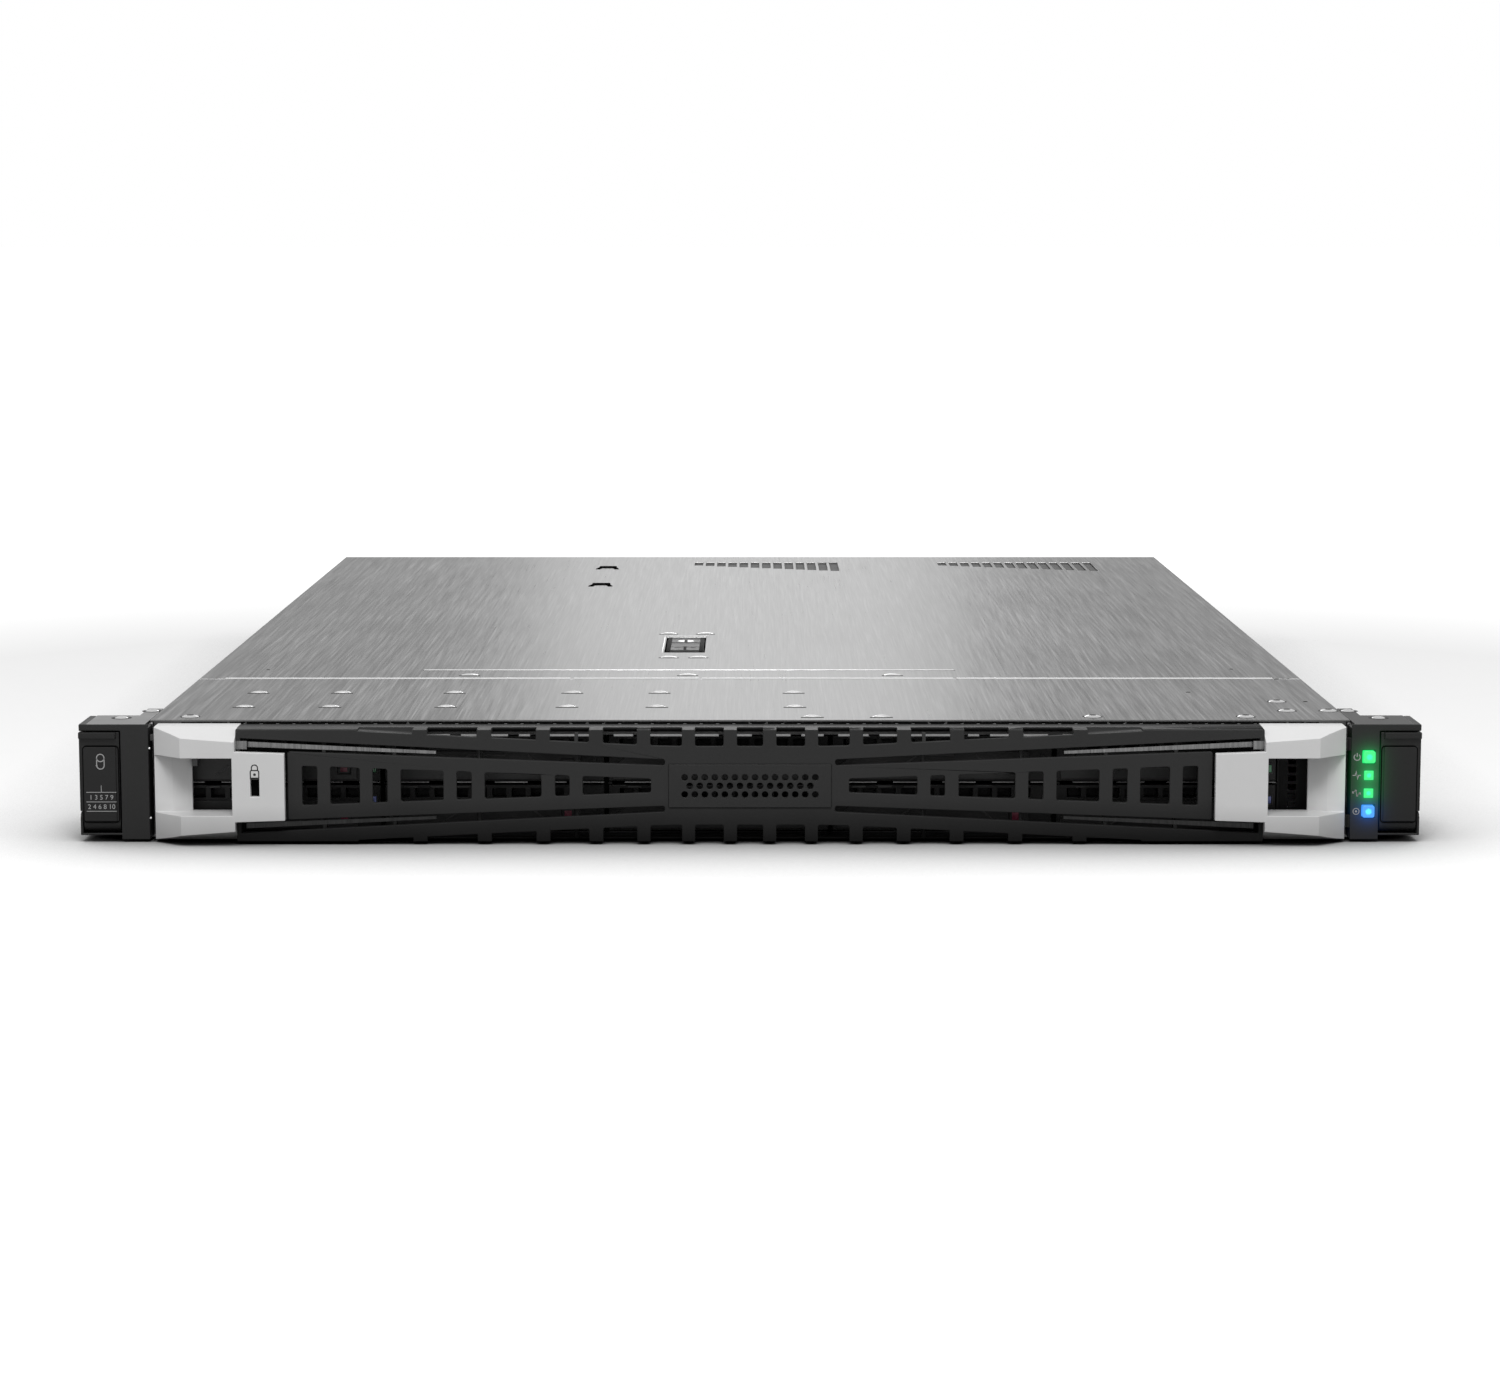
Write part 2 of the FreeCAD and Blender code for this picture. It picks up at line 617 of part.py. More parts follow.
def build_front_cover():
    cover = Piece("front_top_cover")
    cover.pad("XY", [rect(-side, side, front, behind(d.cover_length))], lid_under, lid_top)
    lip_x = inner_side - d.lid_gap
    cover.pad("XY", [rect(-lip_x, lip_x, front, behind(d.lid_gauge))], lid_top - d.lip_drop, lid_under)
    for x0, x1 in ((lip_x - d.lid_gauge, lip_x), (-lip_x, -lip_x + d.lid_gauge)):
        lip = rect(x0, x1, behind(d.lid_gauge), behind(d.cover_length))
        cover.pad("XY", [lip], lid_top - d.lip_drop, lid_under)
    half = d.vent_slot_pitch * 31
    slot_z = (lid_under - 0.5, lid_under)
    slot = cover.cut("XZ", [rect(-half, -half + d.vent_slot_width, *slot_z)], front - 1, behind(d.lid_gauge))
    cover.row([slot], "X", half * 2 - d.vent_slot_pitch, 62)
    bridges = [(-188, 78), (-156, 78), (-113, 78), (-68, 78), (-34.6, 78), (16.7, 78)]
    bridges += [(x, 37) for x, _ in bridges]
    bridges += [(22.7, 9), (47.8, 9)]
    shapes = [centred(x, behind(y), d.bump_width, d.bump_length) for x, y in bridges]
    cover.pad("XY", shapes, lid_top, lid_top + d.bump_height)
    node("front_top_cover", cover)


panel_front = behind(d.cover_length + d.seam_gap)


def build_access_panel():
    panel = Piece("access_panel")
    panel.pad("XY", [rect(-side, side, panel_front, rear)], lid_under, lid_top)
    lip_x = inner_side - d.lid_gap
    for x0, x1 in ((lip_x - d.lid_gauge, lip_x), (-lip_x, -lip_x + d.lid_gauge)):
        lip = rect(x0, x1, panel_front, rear - d.psu_length - 4)
        panel.pad("XY", [lip], lid_top - d.lip_drop, lid_under)
    opening = centred(d.latch_x, behind(d.latch_y), d.latch_width, d.latch_length)
    panel.cut("XY", [opening], lid_under - 1, lid_top + 1)
    slots = []
    for x0, count, first, last in ((-29.0, 13, 601.0, 571.0), (99.0, 14, 601.0, 571.0)):
        for i in range(count):
            x = x0 + d.roof_vent_pitch * i
            start = first + (last - first) * i / (count - 1)
            slots.append(rect(x, x + d.roof_vent_width, behind(start), rear - d.roof_vent_rear))
    panel.cut_each("XY", slots, lid_under - 1, lid_top + 1)
    ridge = rect(-131, 82, behind(148.6), behind(149.4))
    tabs = [centred(-74, behind(587), 10, 6), centred(-74, behind(497), 10, 6)]
    panel.pad("XY", [ridge] + tabs, lid_top, lid_top + 0.3)
    bridges = [centred(x, behind(133), d.bump_width, d.bump_length) for x in (-111.5, -24.8, 56.6)]
    panel.pad("XY", bridges, lid_top, lid_top + d.bump_height)
    node("access_panel", panel)


latch_half = d.latch_length / 2
latch_axis_y = behind(d.latch_y) + latch_half - d.latch_gap - d.latch_thick / 2
latch_axis_z = lid_top - 0.1 - d.latch_thick / 2


def build_panel_latch():
    tub_bottom = lid_top - d.latch_tub_depth
    outer = centred(d.latch_x, behind(d.latch_y), d.latch_width + d.latch_tub_wall * 2,
                    d.latch_length + d.latch_tub_wall * 2)
    tub = Piece("latch_housing")
    tub.pad("XY", [outer], tub_bottom, lid_under)
    inner = centred(d.latch_x, behind(d.latch_y), d.latch_width, d.latch_length)
    tub.cut("XY", [inner], tub_bottom + d.latch_tub_wall, lid_under + 1)
    hole = Circle(latch_axis_y, latch_axis_z, d.pin_r - 0.1 + d.pin_clearance)
    reach = d.latch_width / 2 + d.latch_tub_wall
    tub.cut("YZ", [hole], d.latch_x - reach - 1, d.latch_x + reach + 1)
    node("latch_housing", tub)

    lever = Piece("panel_latch")
    half = d.latch_width / 2 - d.latch_gap
    y0 = behind(d.latch_y) - latch_half + d.latch_gap
    z1 = latch_axis_z + d.latch_thick / 2
    z0 = latch_axis_z - d.latch_thick / 2
    lever.pad("YZ", [rect(y0, latch_axis_y, z0, z1)], d.latch_x - half, d.latch_x + half)
    heel = Circle(latch_axis_y, latch_axis_z, d.latch_thick / 2)
    lever.pad("YZ", [heel], d.latch_x - half, d.latch_x + half)
    pin = Circle(latch_axis_y, latch_axis_z, d.pin_r - 0.1)
    lever.pad("YZ", [pin], d.latch_x - reach + 0.1, d.latch_x + reach - 0.1)
    lever.cut("XY", [centred(d.latch_x, y0 + 6, half * 1.5, 7)], z1 - 2.2, z1 + 1)
    for y in (behind(d.latch_y) - 8, behind(d.latch_y) + 4):
        lever.cut("XY", [centred(d.latch_x, y, half * 2 - 2, 0.8)], z1 - 0.5, z1 + 1)
    lever.cut("XY", [Circle(d.latch_x, behind(d.latch_y) + 14, 3.4)], z1 - 1.2, z1 + 1)
    lever.pad("XY", [Circle(d.latch_x, behind(d.latch_y) + 14, 3.0)], z1 - 1.4, z1 - 0.2)
    lever.cut("XY", [centred(d.latch_x, behind(d.latch_y) + 14, 6.2, 0.8)], z1 - 0.9, z1 + 1)
    node("panel_latch", lever)


cage_left = -inner_side + d.cage_side_gap
cage_front = behind(d.cage_setback)
cage_rear = cage_front + d.cage_length
cage_floor_top = floor + d.cage_gauge
row_z = [cage_floor_top + d.drive_gap]
ledge_bottom = row_z[0] + d.drive_height + d.drive_gap
row_z.append(ledge_bottom + d.ledge_height + d.drive_gap)
cage_roof = row_z[1] + d.drive_height + d.drive_gap
cage_end = cage_left + d.bay_pitch * 5 + d.cage_gauge


def build_drive_cage():
    depth = (cage_front, cage_rear)
    parts = [block("cage_floor", (cage_left, cage_end), depth, (floor, cage_floor_top))]
    parts.append(block("cage_roof", (cage_left, cage_end), depth, (cage_roof, cage_roof + d.cage_gauge)))
    lip_z = (cage_roof, lid_under - d.lid_gap)
    lip_y = (cage_front, cage_front + d.cage_gauge)
    parts.append(block("cage_lip", (cage_left + 2, cage_end), lip_y, lip_z))
    for i in range(6):
        x = cage_left + d.bay_pitch * i
        parts.append(block(f"partition_{i}", (x, x + d.cage_gauge), depth, (floor, cage_roof)))
        ledge_z = (ledge_bottom, ledge_bottom + d.ledge_height)
        spans = []
        if i < 5:
            spans.append((x + d.cage_gauge, x + d.cage_gauge + d.ledge_width))
        if i > 0:
            spans.append((x - d.ledge_width, x))
        for j, span in enumerate(spans):
            parts.append(block(f"ledge_{i}_{j}", span, (cage_front, cage_rear), ledge_z))
    panel_x = (cage_end - d.cage_gauge, inner_side - d.cage_side_gap)
    parts.append(block("vent_plate", panel_x, (cage_front + 4, cage_front + 4 + d.cage_gauge), (floor, lip_z[1])))
    tools = []
    for i in range(6):
        middle = 11.0 + 3.2 * i
        z = (middle - 1.1, middle + 1.1)
        tools.append(block(f"vent_hole_{i}", (196.1, 198.9), (cage_front + 3, cage_front + 6), z))
    node("drive_cage", cut("drive_cage", fuse("cage_sheet", *parts), *tools))

    board = Piece("drive_backplane")
    board_y = (cage_rear, cage_rear + d.board_gauge)
    board.pad("XZ", [rect(cage_left, cage_end, cage_floor_top, cage_roof)], *board_y)
    slots = []
    sockets = []
    for i in range(5):
        x = cage_left + d.bay_pitch * (i + 0.5)
        for u in (-24.0, 24.0):
            slots.append(centred(x + u, cage_floor_top + 17.6, 26.0, 9.0))
        sockets += [centred(x, z + d.drive_height / 2, 42.0, 5.0) for z in row_z]
    board.cut("XZ", slots, board_y[0] - 1, board_y[1] + 1)
    board.pad("XZ", sockets, cage_rear - 5.5, cage_rear)
    node("drive_backplane", board)


def build_drive(number, column, row):
    name = f"drive_{number}"
    x0 = cage_left + d.bay_pitch * column + d.cage_gauge + d.drive_gap
    x1 = x0 + d.bay_pitch - d.cage_gauge - d.drive_gap * 2
    y0 = behind(d.drive_setback)
    y1 = y0 + d.drive_length
    z0 = row_z[row]
    z1 = z0 + d.drive_height
    middle = (x0 + x1) / 2
    face_y = (y0 + 1.2, y0 + d.drive_face)
    carrier = Piece(name + "_carrier")
    carrier.pad("XZ", [rect(x0, x1, z0, z1)], *face_y)
    low = (z0, z0 + 11.0)
    rails = [rect(x0, middle - d.disk_width / 2, *low), rect(middle + d.disk_width / 2, x1, *low)]
    carrier.pad("XZ", rails, face_y[1], y1)
    vents = [rect(x0 + 4.0 + 7.0 * i, x0 + 9.0 + 7.0 * i, z1 - 4.6, z1 - 1.2) for i in range(10)]
    carrier.cut("XZ", vents, face_y[0] - 1, face_y[1] + 1)
    disk_z = z0 + 0.8
    disk_span = (middle - d.disk_width / 2, middle + d.disk_width / 2)
    disk = block(name + "_disk", disk_span, (face_y[1] + 1, face_y[1] + 1 + d.disk_length),
                 (disk_z, disk_z + d.disk_height))
    lever = Piece(name + "_lever")
    notch = [(x0 + 1.5, z0 + 0.8), (x1 - 8.6, z0 + 0.8), (x1 - 8.6, z1 - 5.6), (x0 + 9.0, z1 - 5.6)]
    notch += [(x0 + 1.5, z0 + 5.0)]
    lever.pad("XZ", [notch], y0 + 0.4, face_y[0])
    button_x = x1 - 13.2
    lever.cut("XZ", [centred(button_x, z0 + 5.4, 5.0, 5.6)], y0, y0 + 0.8)
    lever.pad("XZ", [centred(button_x, z0 + 5.4, 4.2, 4.8)], y0, y0 + 0.8)
    light = block(name + "_light", (x1 - 4.4, x1 - 2.9), (y0 + 0.8, face_y[0]), (z0 + 7.0, z0 + 9.7))
    node(name, group(name, carrier.body, disk, lever.body, light))


def fan_middle(i):
    return d.fan_pitch * (i - 2.5)


fan_y = (behind(d.fan_front), behind(d.fan_front + d.fan_depth))
fan_z = floor + d.fan_size / 2


def build_fans():
    motor_y = fan_y[1] - d.fan_motor_depth
    frames = []
    for i in range(6):
        x = fan_middle(i)
        shell = block(f"fan_shell_{i}", (x - d.fan_size / 2, x + d.fan_size / 2), fan_y,
                      (floor, floor + d.fan_size))
        bore = rod(f"fan_bore_{i}", "Y", (x, fan_z), d.fan_bore_r, fan_y[0] - 1, fan_y[1] + 1)
        seat = rod(f"fan_seat_{i}", "Y", (x, fan_z), d.fan_hub_r, motor_y, fan_y[1])
        wide = (d.fan_bore_r + 0.5)
        strut_y = (fan_y[1] - 3, fan_y[1])
        across = block(f"fan_across_{i}", (x - wide, x + wide), strut_y,
                       (fan_z - d.fan_strut / 2, fan_z + d.fan_strut / 2))
        upright = block(f"fan_upright_{i}", (x - d.fan_strut / 2, x + d.fan_strut / 2), strut_y,
                        (fan_z - wide, fan_z + wide))
        body = fuse(f"fan_body_{i}", cut(f"fan_ring_{i}", shell, bore), seat, across, upright)
        shaft_r = d.fan_shaft_r + d.pin_clearance
        hole = rod(f"fan_hole_{i}", "Y", (x, fan_z), shaft_r, motor_y - 1, fan_y[1] - 1)
        frames.append(cut(f"fan_frame_{i}", body, hole))
        build_rotor(i, x, motor_y)
    node("fan_frames", group("fan_frames", *frames))
    parts = []
    cage_y = (fan_y[0] - 3, fan_y[1] + 3)
    for i in range(7):
        x = d.fan_pitch * (i - 3)
        parts.append(block(f"fan_wall_{i}", (x - 0.5, x + 0.5), cage_y, (floor, lid_under - 2)))
    for i, y in enumerate((cage_y[0] - 1, cage_y[1])):
        strip_x = (d.fan_pitch * -3 - 0.5, d.fan_pitch * 3 + 0.5)
        parts.append(block(f"fan_strip_{i}", strip_x, (y, y + 1), (floor, floor + 4)))
    node("fan_cage", fuse("fan_cage", *parts))


def build_rotor(i, x, motor_y):
    name = f"fan_rotor_{i + 1}"
    hub_y = (fan_y[0] + 1.5, motor_y - 0.5)
    hub = rod(name + "_hub", "Y", (x, fan_z), d.fan_hub_r, *hub_y)
    shaft = rod(name + "_shaft", "Y", (x, fan_z), d.fan_shaft_r, hub_y[1], fan_y[1] - 1.2)
    reach = rod(name + "_reach", "Y", (x, fan_z), d.fan_bore_r - d.fan_tip_gap, hub_y[0] + 0.5, hub_y[1] - 0.5)
    blades = []
    for k in range(7):
        blade = DOC.addObject("Part::Box", f"{name}_blade_{k}")
        blade.Length = 1.3
        blade.Width = 26
        blade.setExpression("Height", (d.fan_bore_r + 1).text)
        radial = FreeCAD.Rotation(FreeCAD.Vector(0, 1, 0), 360.0 / 7 * k)
        pitch = FreeCAD.Rotation(FreeCAD.Vector(0, 0, 1), 34)
        blade.Placement.Rotation = radial * pitch
        offset = (radial * pitch).multVec(FreeCAD.Vector(-0.65, -13, 0))
        blade.setExpression("Placement.Base.x", (x + offset.x).text)
        blade.setExpression("Placement.Base.y", ((hub_y[0] + hub_y[1]) / 2 + offset.y).text)
        blade.setExpression("Placement.Base.z", (fan_z + offset.z).text)
        blades.append(blade)
    fan = common(name + "_blades", fuse(name + "_blade_set", *blades), reach)
    node(name, fuse(name, hub, shaft, fan))


board_x = inner_side - d.board_margin
board_rear = rear - d.rear_gauge - d.board_rear_gap
board_step_x = cage_right + d.cage_gauge + 2
board_step_y = psu_front - 8


def build_board():
    board = Piece("system_board")
    outline = [(-board_x, behind(d.board_front)), (board_x, behind(d.board_front)), (board_x, board_rear)]
    outline += [(board_step_x, board_rear), (board_step_x, board_step_y), (-board_x, board_step_y)]
    board.pad("XY", [outline], d.board_z, board_top)
    posts = [(x, behind(y)) for x in (-200, 0, 200) for y in (215, 330, 450)]
    posts += [(-50, behind(630)), (115, behind(630)), (205, behind(630))]
    board.pad("XY", [Circle(x, y, d.standoff_r) for x, y in posts], floor, d.board_z)
    chips = [centred(150, behind(455), 26, 26), centred(95, behind(450), 12, 18)]
    chips += [centred(-150, behind(430), 20, 14), centred(-170, behind(300), 30, 8)]
    chips += [centred(180, behind(260 + 22 * i), 14, 9) for i in range(5)]
    board.pad("XY", chips, board_top, board_top + 4)
    board.pad("XY", [Circle(-185, behind(400), 10), Circle(-120, behind(448), 5)], board_top, board_top + 6)
    node("system_board", board)

    x = d.cpu_x
    y = behind(d.cpu_y)
    socket = Piece("cpu_socket")
    socket.pad("XY", [centred(x, y, d.socket_width, d.socket_length)], board_top, board_top + d.socket_height)
    socket.bevel(1.2, parallel("Z"))
    node("cpu_socket", socket)

    sink = Piece("cpu_heatsink")
    sink_z = board_top + d.socket_height
    sink.pad("XY", [centred(x, y, d.sink_width, d.sink_length)], sink_z, sink_z + d.sink_base)
    first = x - d.sink_width / 2
    fin = rect(first, first + d.sink_fin_pitch - d.sink_fin_gap, y - d.sink_length / 2, y + d.sink_length / 2)
    fin = sink.pad("XY", [fin], sink_z + d.sink_base - 0.5, sink_z + d.sink_height)
    sink.row([fin], "X", d.sink_fin_pitch * 25, 26)
    node("cpu_heatsink", sink)

    sockets = []
    modules = []
    for k in range(16):
        step = d.memory_first + d.memory_pitch * (k % 8)
        middle = x + step if k < 8 else x - step
        half = d.memory_length / 2
        y_span = (y - half - 4, y + half + 4)
        socket_x = (middle - d.memory_socket_width / 2, middle + d.memory_socket_width / 2)
        top = board_top + d.memory_socket_height
        base = block(f"memory_base_{k}", socket_x, y_span, (board_top, top))
        thin = d.memory_gauge / 2
        groove = block(f"memory_groove_{k}", (middle - thin, middle + thin), (y - half, y + half),
                       (top - d.memory_seat, top + 1))
        sockets.append(cut(f"memory_socket_{k}", base, groove))
        seat = top - d.memory_seat
        module = block(f"module_board_{k}", (middle - thin, middle + thin), (y - half, y + half),
                       (seat, seat + d.memory_height))
        chips = []
        for j, u in enumerate((-56.0, -40.5, -25.0, 10.0, 25.5, 41.0)):
            chips.append(block(f"chip_{k}_{j}", (middle - thin - 1, middle + thin + 1), (y + u, y + u + 12),
                               (top + 3, top + 20)))
        modules.append(fuse(f"module_{k}", module, *chips))
    node("dimm_sockets", group("dimm_sockets", *sockets))
    node("memory_modules", group("memory_modules", *modules))

    baffle = Piece("air_baffle")
    x0, x1 = -176.0, 170.0
    top = 35.4
    g = d.baffle_gauge
    outline = [(x0, board_top), (x0 + g, board_top), (x0 + g, top - g), (x1 - g, top - g), (x1 - g, board_top)]
    outline += [(x1, board_top), (x1, top), (x0, top)]
    baffle.pad("XZ", [outline], behind(d.baffle_front), behind(d.baffle_front + 58))
    node("air_baffle", baffle)


def build_rear_parts():
    y1 = rear - d.rear_gauge
    y0 = rear - d.riser_length
    g = d.cage_gauge
    shelf_z = (21.4, 21.4 + g)
    outer_b = d.slot_b_x - 4.0
    outer_a = d.slot_a_x + d.slot_cover_width - 1.0
    parts = [block("riser_wall", (d.riser_wall_x, d.riser_wall_x + g), (y0, y1), (board_top, riser_top))]
    parts.append(block("riser_side_b", (outer_b, outer_b + g), (y0, y1), (shelf_z[0], riser_top)))
    parts.append(block("riser_side_a", (outer_a - g, outer_a), (y0, y1), (shelf_z[0], riser_top)))
    parts.append(block("riser_front", (outer_b, outer_a), (y0, y0 + g), (shelf_z[0], 27.0)))
    for i, span in enumerate(((outer_b, d.riser_wall_x - 3.0), (d.riser_wall_x + 4.0, outer_a))):
        parts.append(block(f"riser_shelf_{i}", span, (y0, y0 + 40), shelf_z))
        parts.append(block(f"riser_shelf_rear_{i}", span, (y1 - 40, y1), shelf_z))
    for i, (x0, x1) in enumerate(tab_spans):
        parts.append(block(f"pull_tab_{i}", (x0, x1), (rear - 45, rear + d.tab_reach), (riser_top - g, riser_top)))
    node("riser_cage", fuse("riser_cage", *parts))

    boards = []
    for i, x in enumerate((d.riser_wall_x - d.board_gauge, d.riser_wall_x + g)):
        card = block(f"riser_card_{i}", (x, x + d.board_gauge), (y0 + 45, y1 - 45), (board_top, riser_top - 3))
        out = x - 7.0 if i == 0 else x + d.board_gauge
        slot = block(f"riser_slot_{i}", (out, out + 7.0), (y0 + 50, y0 + 139), (26.0, 33.5))
        boards.append(fuse(f"riser_board_{i}", card, slot))
    node("riser_boards", group("riser_boards", *boards))

    covers = []
    for i, x in enumerate((d.slot_a_x, d.slot_b_x)):
        cover = Piece(f"slot_cover_{i}")
        z = (d.slot_z, d.slot_z + d.slot_cover_height)
        x1 = x + d.slot_cover_width - (2.0 if i == 0 else 0.0)
        cover.pad("XZ", [rect(x, x1, *z)], y1 - 0.9, y1)
        holes = [Circle(x + 8, z[0] + 4.4 + 4.4 * j, 1.5) for j in range(3)]
        holes = cover.cut("XZ", holes, y1 - 2, y1 + 1)
        cover.row([holes], "X", 4.4 * 22, 23)
        covers.append(cover.body)
    node("slot_covers", group("slot_covers", *covers))

    port = Piece("management_port")
    z = (board_top, board_top + d.port_height)
    port_y = (rear - d.port_depth, rear + 0.4)
    port.pad("XZ", [rect(d.port_x, d.port_x + d.port_width, *z)], *port_y)
    hole = centred(d.port_x + d.port_width / 2, board_top + 6.4, d.port_hole_width, d.port_hole_height)
    port.cut("XZ", [hole], rear + 0.4 - d.port_hole_depth, rear + 1)
    ports = [port.body]
    for i in range(2):
        x = d.usb_x - i * 24.0
        shell = Piece(f"data_port_{i}")
        usb_y = (rear - 14.0, rear + 0.4)
        shell.pad("XZ", [rect(x, x + d.usb_width, board_top, board_top + d.usb_height)], *usb_y)
        middle = x + d.usb_width / 2
        shell.cut("XZ", [centred(middle, board_top + 3.5, 12.5, 5.1)], rear - 12, rear + 1)
        shell.pad("XZ", [centred(middle, board_top + 4.6, 11.1, 1.6)], rear - 12, rear - 1.2)
        ports.append(shell.body)
    video = Piece("video_port")
    x = d.video_x - 28.0
    video.pad("XZ", [rect(x, x + d.video_width, board_top, board_top + d.video_height)], rear - 12, rear + 0.6)
    middle = x + d.video_width / 2
    mid_z = board_top + d.video_height / 2
    shell = [(middle - 8.4, mid_z + 4.0), (middle - 7.3, mid_z - 4.0), (middle + 7.3, mid_z - 4.0)]
    shell += [(middle + 8.4, mid_z + 4.0)]
    video.pad("XZ", [shell], rear + 0.6, rear + 5.6)
    well = [(middle - 7.8, mid_z + 3.4), (middle - 6.8, mid_z - 3.4), (middle + 6.8, mid_z - 3.4)]
    well += [(middle + 7.8, mid_z + 3.4)]
    video.cut("XZ", [well], rear + 0.6, rear + 6)
    pins = [Circle(middle - 4.6 + 2.3 * k, mid_z + v, 0.5) for k in range(5) for v in (-2, 0, 2)]
    video.cut("XZ", pins, rear - 2, rear + 1)
    ports.append(video.body)
    node("rear_ports", group("rear_ports", *ports))

    card_y = (rear - d.card_length, rear - d.rear_gauge)
    card_x = (d.card_x, d.card_x + d.card_width)
    parts = [block("card_board", card_x, card_y, (board_top, board_top + d.board_gauge))]
    parts.append(block("card_bracket", card_x, (card_y[1] - 0.9, card_y[1]), (board_top, board_top + 12.6)))
    parts.append(block("card_chip", (d.card_x + 26, d.card_x + 50), (card_y[0] + 20, card_y[0] + 44),
                       (board_top + 1, board_top + 9)))
    tools = []
    for i in range(4):
        x = d.card_x + 4.0 + 17.4 * i
        parts.append(block(f"card_port_{i}", (x, x + d.port_width), (rear - 20, rear + 0.4),
                           (board_top + 1, board_top + 12.6)))
        middle = x + d.port_width / 2
        tools.append(block(f"card_hole_{i}", (middle - d.port_hole_width / 2, middle + d.port_hole_width / 2),
                           (rear + 0.4 - d.port_hole_depth, rear + 1), (board_top + 2.8, board_top + 11.2)))
    node("network_card", cut("network_card", fuse("card_solid", *parts), *tools))


def build_psu(index):
    name = f"psu_{index + 1}"
    x0 = psu_left[index]
    x1 = x0 + d.psu_width
    z = (psu_bottom, psu_top)
    w = d.psu_wall
    case = Piece(name + "_case")
    case.pad("XZ", [rect(x0, x1, *z)], psu_front, rear)
    case.cut("XZ", [rect(x0 + w, x1 - w, z[0] + w, z[1] - w)], psu_front + w, rear - w)
    inlet_x = x0 + 4.0 + d.inlet_wall + d.inlet_width / 2
    inlet_z = z[0] + 11.5
    ring = (d.inlet_width + d.inlet_wall * 2, d.inlet_height + d.inlet_wall * 2)
    cup_y = (rear - d.inlet_depth - d.inlet_wall, rear + 2.0)
    case.pad("XZ", [centred(inlet_x, inlet_z, *ring)], *cup_y)
    case.cut("XZ", [centred(inlet_x, inlet_z, d.inlet_width, d.inlet_height)], rear + 2.0 - d.inlet_depth, rear + 3)
    blades = [centred(inlet_x - 7, inlet_z - 2, 1.8, 4), centred(inlet_x + 7, inlet_z - 2, 1.8, 4)]
    blades.append(centred(inlet_x, inlet_z + 2, 1.8, 4))
    floor_y = rear + 2.0 - d.inlet_depth
    case.pad("XZ", blades, floor_y, floor_y + d.inlet_pin)
    holes = [Circle(x0 + 8 + 4.2 * j, z[1] - 4, 1.5) for j in range(9)]
    holes += [Circle(x0 + 8 + 4.2 * j, z[1] - 8.2, 1.5) for j in range(9)]
    holes += [Circle(x0 + 45.5 + 4.2 * j, z[0] + 5 + 4.2 * k, 1.5) for j in range(2) for k in range(5)]
    case.cut("XZ", holes, rear - w - 1, rear + 1)
    pivot = (x1 - 6.0, rear + 3.5)
    lugs = rect(pivot[0] - 2.4, pivot[0] + 2.4, rear, rear + 6.0)
    latch_z = (z[0] + 12.0, z[0] + 27.0)
    case.pad("XY", [lugs], latch_z[0] - 2.6, latch_z[0] - 0.4)
    case.pad("XY", [lugs], latch_z[1] + 0.4, latch_z[1] + 2.6)
    hole = Circle(*pivot, d.pin_r + d.pin_clearance)
    case.cut("XY", [hole], latch_z[0] - 3, latch_z[1] + 3)
    node(name + "_case", case)

    handle = Piece(name + "_handle")
    t = d.handle_bar
    hx = (x1 - 19.0, x1 - 12.0)
    reach = rear + d.handle_reach
    loop = [(rear, z[0] + 3), (reach, z[0] + 3), (reach, z[1] - 3), (rear, z[1] - 3), (rear, z[1] - 3 - t)]
    loop += [(reach - t, z[1] - 3 - t), (reach - t, z[0] + 3 + t), (rear, z[0] + 3 + t)]
    handle.pad("YZ", [loop], *hx)
    handle.round(3.0, parallel("X", lambda edge: edge.Vertexes[0].Y > reach.value - 0.1))
    node(name + "_handle", handle)

    latch = Piece(name + "_latch")
    arm = rect(pivot[0] - 1.2, pivot[0] + 1.2, pivot[1], rear + 22.0)
    latch.pad("XY", [arm], *latch_z)
    latch.pad("XY", [Circle(*pivot, 1.9)], *latch_z)
    latch.pad("XY", [rect(pivot[0] - 1.2, pivot[0] + 3.8, rear + 20.0, rear + 22.0)], *latch_z)
    latch.pad("XY", [Circle(*pivot, d.pin_r)], latch_z[0] - 2.4, latch_z[1] + 2.4)
    node(name + "_latch", latch)


def across(sign, near, far):
    """A span on one side of the middle: sign 1 is the right, -1 the left."""
    near, far = size(near), size(far)
    return (near, far) if sign > 0 else (-far, -near)


ear_outer = d.rack_width / 2
column_end = side - d.ear_inner_lap + d.ear_column
lever_y = (ahead(d.ear_front), ahead(d.ear_front - d.lever_thick))
lever_axis_y = ahead(d.ear_front - d.lever_thick / 2)
cap_bottom = ear_top - d.ear_gauge - d.ear_cap
lever_top = cap_bottom - d.lever_gap
lever_x = (column_end + d.lever_gap, ear_outer)
plate_under = ear_top - d.ear_gauge
flange_y = (behind(d.ear_rear - d.ear_gauge), behind(d.ear_rear))


